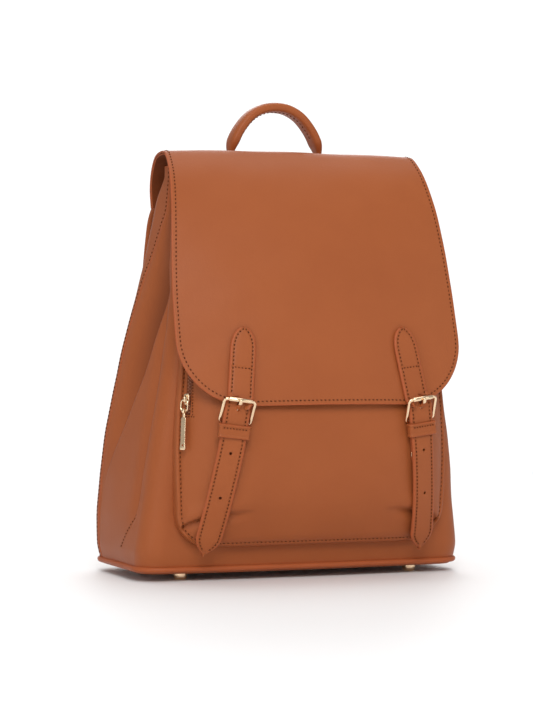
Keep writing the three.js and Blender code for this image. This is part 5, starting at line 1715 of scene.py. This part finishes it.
# Two patches on the yoke, sewn round the handle's feet.
flap_y = flap_line[:1300, 0]
patch_from = np.interp(-47, -flap_y, flap_stops[:1300])
patch_to = np.interp(-27, -flap_y, flap_stops[:1300])
for label, side in (("left", -1), ("right", 1)):
    s = np.linspace(patch_from, patch_to, 24)[:, None]
    c = np.linspace(-1, 1, 28)[None, :]
    round_off = 12 * (1 - 0.12 * (2 * (s - patch_from) / (patch_to - patch_from) - 1) ** 4)
    y_line, z_line = np.interp(s, flap_stops, flap_line[:, 0]), np.interp(s, flap_stops, flap_line[:, 1])
    x = side * HANDLE["half"] + c * round_off
    grid = flap_surface(s + 0 * c, x / flap_half(y_line, z_line), -1.8)
    facing = grid - OUTWARD_FROM
    patch = piece(f"handle_patch_{label}_leather", sheet_mesh(grid, 1.5, facing), trim,
                  [f"handle_patch_{label}"])
    seam = piece(f"handle_patch_{label}_stitching",
        stitch_mesh(*edge_run(grid, facing, 1.6, ["left", "bottom", "right", "top"]),
                 pitch=2.6), thread)
    for made in (patch, seam):
        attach(made, "bag")
print("the handle's arch is", round(float(arch_stops[-1])), "mm long")

# %% [markdown]
# ## Shoulder straps
# Two padded straps are sewn in below the flap's back seam. Each narrows to a metal slide, a flat
# strap runs on from the slide to a ring near the foot, and a leather tab holds the ring. The
# padded strap is a soft bar with two rows of stitches on each face.

# %% Make the shoulder straps
SHOULDER_LINE = [(77, 58.5, 291.5), (78, 66, 290), (79, 74.5, 280), (79.5, 80, 264), (80, 85.5, 240),
                 (81, 91, 200), (83, 95.5, 155), (85, 97.5, 112)]
LOWER_LINE = [(85.8, 97.6, 100.8), (90, 98, 84), (96, 98.2, 66), (102, 98, 51)]
STRAP_WIRE = 1.1
SLIDE = {"half_x": 10.6, "half_z": 3.2, "at": (85.4, 97.6, 107.2), "lean": 0.0}
ANCHOR_RING = {"half_x": 10.4, "half_z": 4.4, "at": (104.6, 98.1, 41.6), "lean": -12.0}
ANCHOR_TAB = (107.3, 99.0, 26.0)


def mirrored(points, side):
    """The right side's points, or their mirror image for the left."""
    return np.asarray(points, float) * [side, 1, 1]


def strap_line(points, side, count):
    """A line through the points, with the direction out of the strap's face."""
    line, stops = through(mirrored(points, side), count)
    tangent = unit(np.gradient(line, axis=0))
    out = unit(np.cross((1, 0, 0), tangent))
    return line, np.where(out[:, 1:2] < 0, -out, out), stops / stops[-1]


def leaning(at, lean, side):
    """Origin and axes of a piece that leans outwards by an angle, on one side."""
    a = math.radians(side * -lean)
    x = np.array([math.cos(a), 0, -math.sin(a)])
    z = np.array([math.sin(a), 0, math.cos(a)])
    return mirrored(at, side), np.array([x, [0, 1, 0], z])


for label, side in (("left", -1), ("right", 1)):
    line, out, share = strap_line(SHOULDER_LINE, side, 160)
    half = 15 - 4.5 * smoothstep((share - 0.72) / 0.28)
    soft = 2.5 * (0.55 + 0.45 * smoothstep(np.minimum(share, 1 - share) / 0.06))
    padded = piece(f"shoulder_strap_{label}_padded", bar_mesh(line, out, half, soft, power=3.4, sides=44),
        skin,
                   [f"shoulder_strap_{label}"])
    across = unit(np.cross(np.gradient(line, axis=0), out))
    seams = [stitch_mesh((line + across * ((half - 3.0) * k)[:, None] + out * (soft * 0.99 * face)[:,
        None])[4:-4],
                         out[4:-4] * face) for k in (-1, 1) for face in (-1, 1)]
    seam = piece(f"shoulder_strap_{label}_stitching", together(*seams), thread)
    line, out, share = strap_line(LOWER_LINE, side, 60)
    across = unit(np.cross(np.gradient(line, axis=0), out))
    t = np.linspace(-1, 1, 19)
    flat = line[:, None] + across[:, None] * (6.8 * t)[None, :, None] + out[:, None] * 1.2
    lower = piece(f"lower_strap_{label}_leather", sheet_mesh(flat, 2.4, out[:, None] + 0 * flat), trim,
                  [f"lower_strap_{label}"])
    lower_seam = piece(f"lower_strap_{label}_stitching",
        stitch_mesh(*edge_run(flat, out[:, None] + 0 * flat, 1.2,
                       ["left", "bottom", "right"])), thread)
    rings = []
    for name, ring in ((f"strap_slide_{label}", SLIDE), (f"anchor_ring_{label}", ANCHOR_RING)):
        origin, axes = leaning(ring["at"], ring["lean"], side)
        shape = closed_path(rounded_rect(ring["half_x"], ring["half_z"], 2.4), 110)
        path = in_axes(np.column_stack([shape[:, 0], np.zeros(110), shape[:, 1]]), origin, axes)
        rings.append(piece(f"{name}_wire",
            bar_mesh(path, axes[1], STRAP_WIRE, STRAP_WIRE, power=2.3, sides=16, loop=True),
                           gold, [name]))
    origin, axes = leaning(ANCHOR_TAB, ANCHOR_RING["lean"], side)
    v = np.linspace(-1, 1, 24)[:, None]
    t = np.linspace(-1, 1, 27)[None, :]
    tab_half = 9.2 - 2.3 * v - 0.9
    tab_local = np.stack([tab_half * t, np.full((24, 27), 0.1), 7.2 * v + 0 * t], axis=-1)
    tab_grid = in_axes(tab_local.reshape(-1, 3), origin, axes).reshape(24, 27, 3)
    tab = piece(f"anchor_tab_{label}_leather", sheet_mesh(tab_grid, 2.2, BACKWARD), trim,
                [f"anchor_tab_{label}"])
    tab_seam = piece(f"anchor_tab_{label}_stitching",
        stitch_mesh(*edge_run(tab_grid, BACKWARD + 0 * tab_grid, 1.4,
                     ["left", "bottom", "right", "top"]), pitch=2.6), thread)
    for made in (padded, seam, lower, lower_seam, tab, tab_seam, *rings):
        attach(made, "bag")
print("shoulder straps have", len(padded.data.polygons), "faces each")

# %% [markdown]
# ## Floor and light
# The bag stands on a plain pale floor under five soft lights: a broad key and a low one from the
# left, a fill from the right, one above and one behind. A pale surrounding lifts the shadows and
# gives the metal something to reflect. It is white only where the camera looks.

# %% Set the stage
def floor_mesh(radius, rings=24, sides=64):
    """A round floor: rings of points from the middle outwards."""
    r = radius * np.linspace(0.02, 1, rings) ** 2
    angle = np.arange(sides) * 2 * math.pi / sides
    grid = np.stack([np.outer(r, np.cos(angle)), np.outer(r, np.sin(angle)), np.zeros((rings, sides))],
        axis=-1)
    index = np.arange(rings * sides).reshape(rings, sides)
    index = np.concatenate([index, index[:, :1]], axis=1)
    return grid.reshape(-1, 3), [grid_faces(index), index[0, :-1][None, ::-1]]


floor_points, floor_faces = floor_mesh(1.5)
floor_data = bpy.data.meshes.new("studio_floor")
floor_data.from_pydata(floor_points.tolist(), [], [f for block in floor_faces for f in block.tolist()])
floor = bpy.data.objects.new("studio_floor", floor_data)
floor_data.materials.append(plain("pale_floor", (0.9, 0.9, 0.9), (0.88, 0.88, 0.88), 0.6, 6.0))
bpy.context.scene.collection.objects.link(floor)


def soft_light(name, place, aim, size, power, tint=(1, 1, 1)):
    """A square area light that faces a point."""
    light = bpy.data.lights.new(name, "AREA")
    light.shape, light.size, light.energy, light.color = "SQUARE", size, power, tint
    lamp = bpy.data.objects.new(name, light)
    bpy.context.scene.collection.objects.link(lamp)
    from_place = np.array(aim, float) - np.array(place, float)
    yaw = math.atan2(-from_place[0], from_place[1])
    pitch = math.atan2(math.hypot(from_place[0], from_place[1]), -from_place[2])
    lamp.location = place
    lamp.rotation_euler = (pitch, 0, yaw)
    return lamp


BAG_MIDDLE = (0.0, 0.0, 0.18)
soft_light("key_front_left", (-0.7, -2.0, 1.6), BAG_MIDDLE, 1.1, 35)
soft_light("low_left", (-1.9, -1.1, 0.5), BAG_MIDDLE, 0.6, 6)
soft_light("fill_front_right", (1.5, -1.7, 0.8), BAG_MIDDLE, 1.4, 5)
soft_light("top", (0.1, 0.3, 2.0), BAG_MIDDLE, 1.6, 14)
soft_light("behind", (0.6, 1.9, 1.3), BAG_MIDDLE, 1.4, 16)
# The surrounding is white where the camera looks and dimmer elsewhere: its strength follows the
# cosine between a direction and the camera's own line of sight.
LOOK = (math.sin(CAMERA_TURN), math.cos(CAMERA_TURN), 0.0)
world = bpy.data.worlds.new("studio_air")
world.use_nodes = True
air = world.node_tree
direction = air.nodes.new("ShaderNodeTexCoord")
toward = air.nodes.new("ShaderNodeVectorMath")
toward.operation = "DOT_PRODUCT"
toward.inputs[1].default_value = LOOK
share = air.nodes.new("ShaderNodeMapRange")
air.links.new(direction.outputs["Generated"], toward.inputs[0])
air.links.new(toward.outputs["Value"], share.inputs[0])
share.inputs[1].default_value, share.inputs[2].default_value = 0.9, 0.972
share.inputs[3].default_value, share.inputs[4].default_value = 0.42, 1.1
air.links.new(share.outputs[0], air.nodes["Background"].inputs[1])
air.nodes["Background"].inputs[0].default_value = (1.0, 1.0, 1.0, 1.0)
bpy.context.scene.world = world
bpy.context.scene.view_settings.view_transform = "Standard"
print("floor, five lights and a pale surrounding are in place")
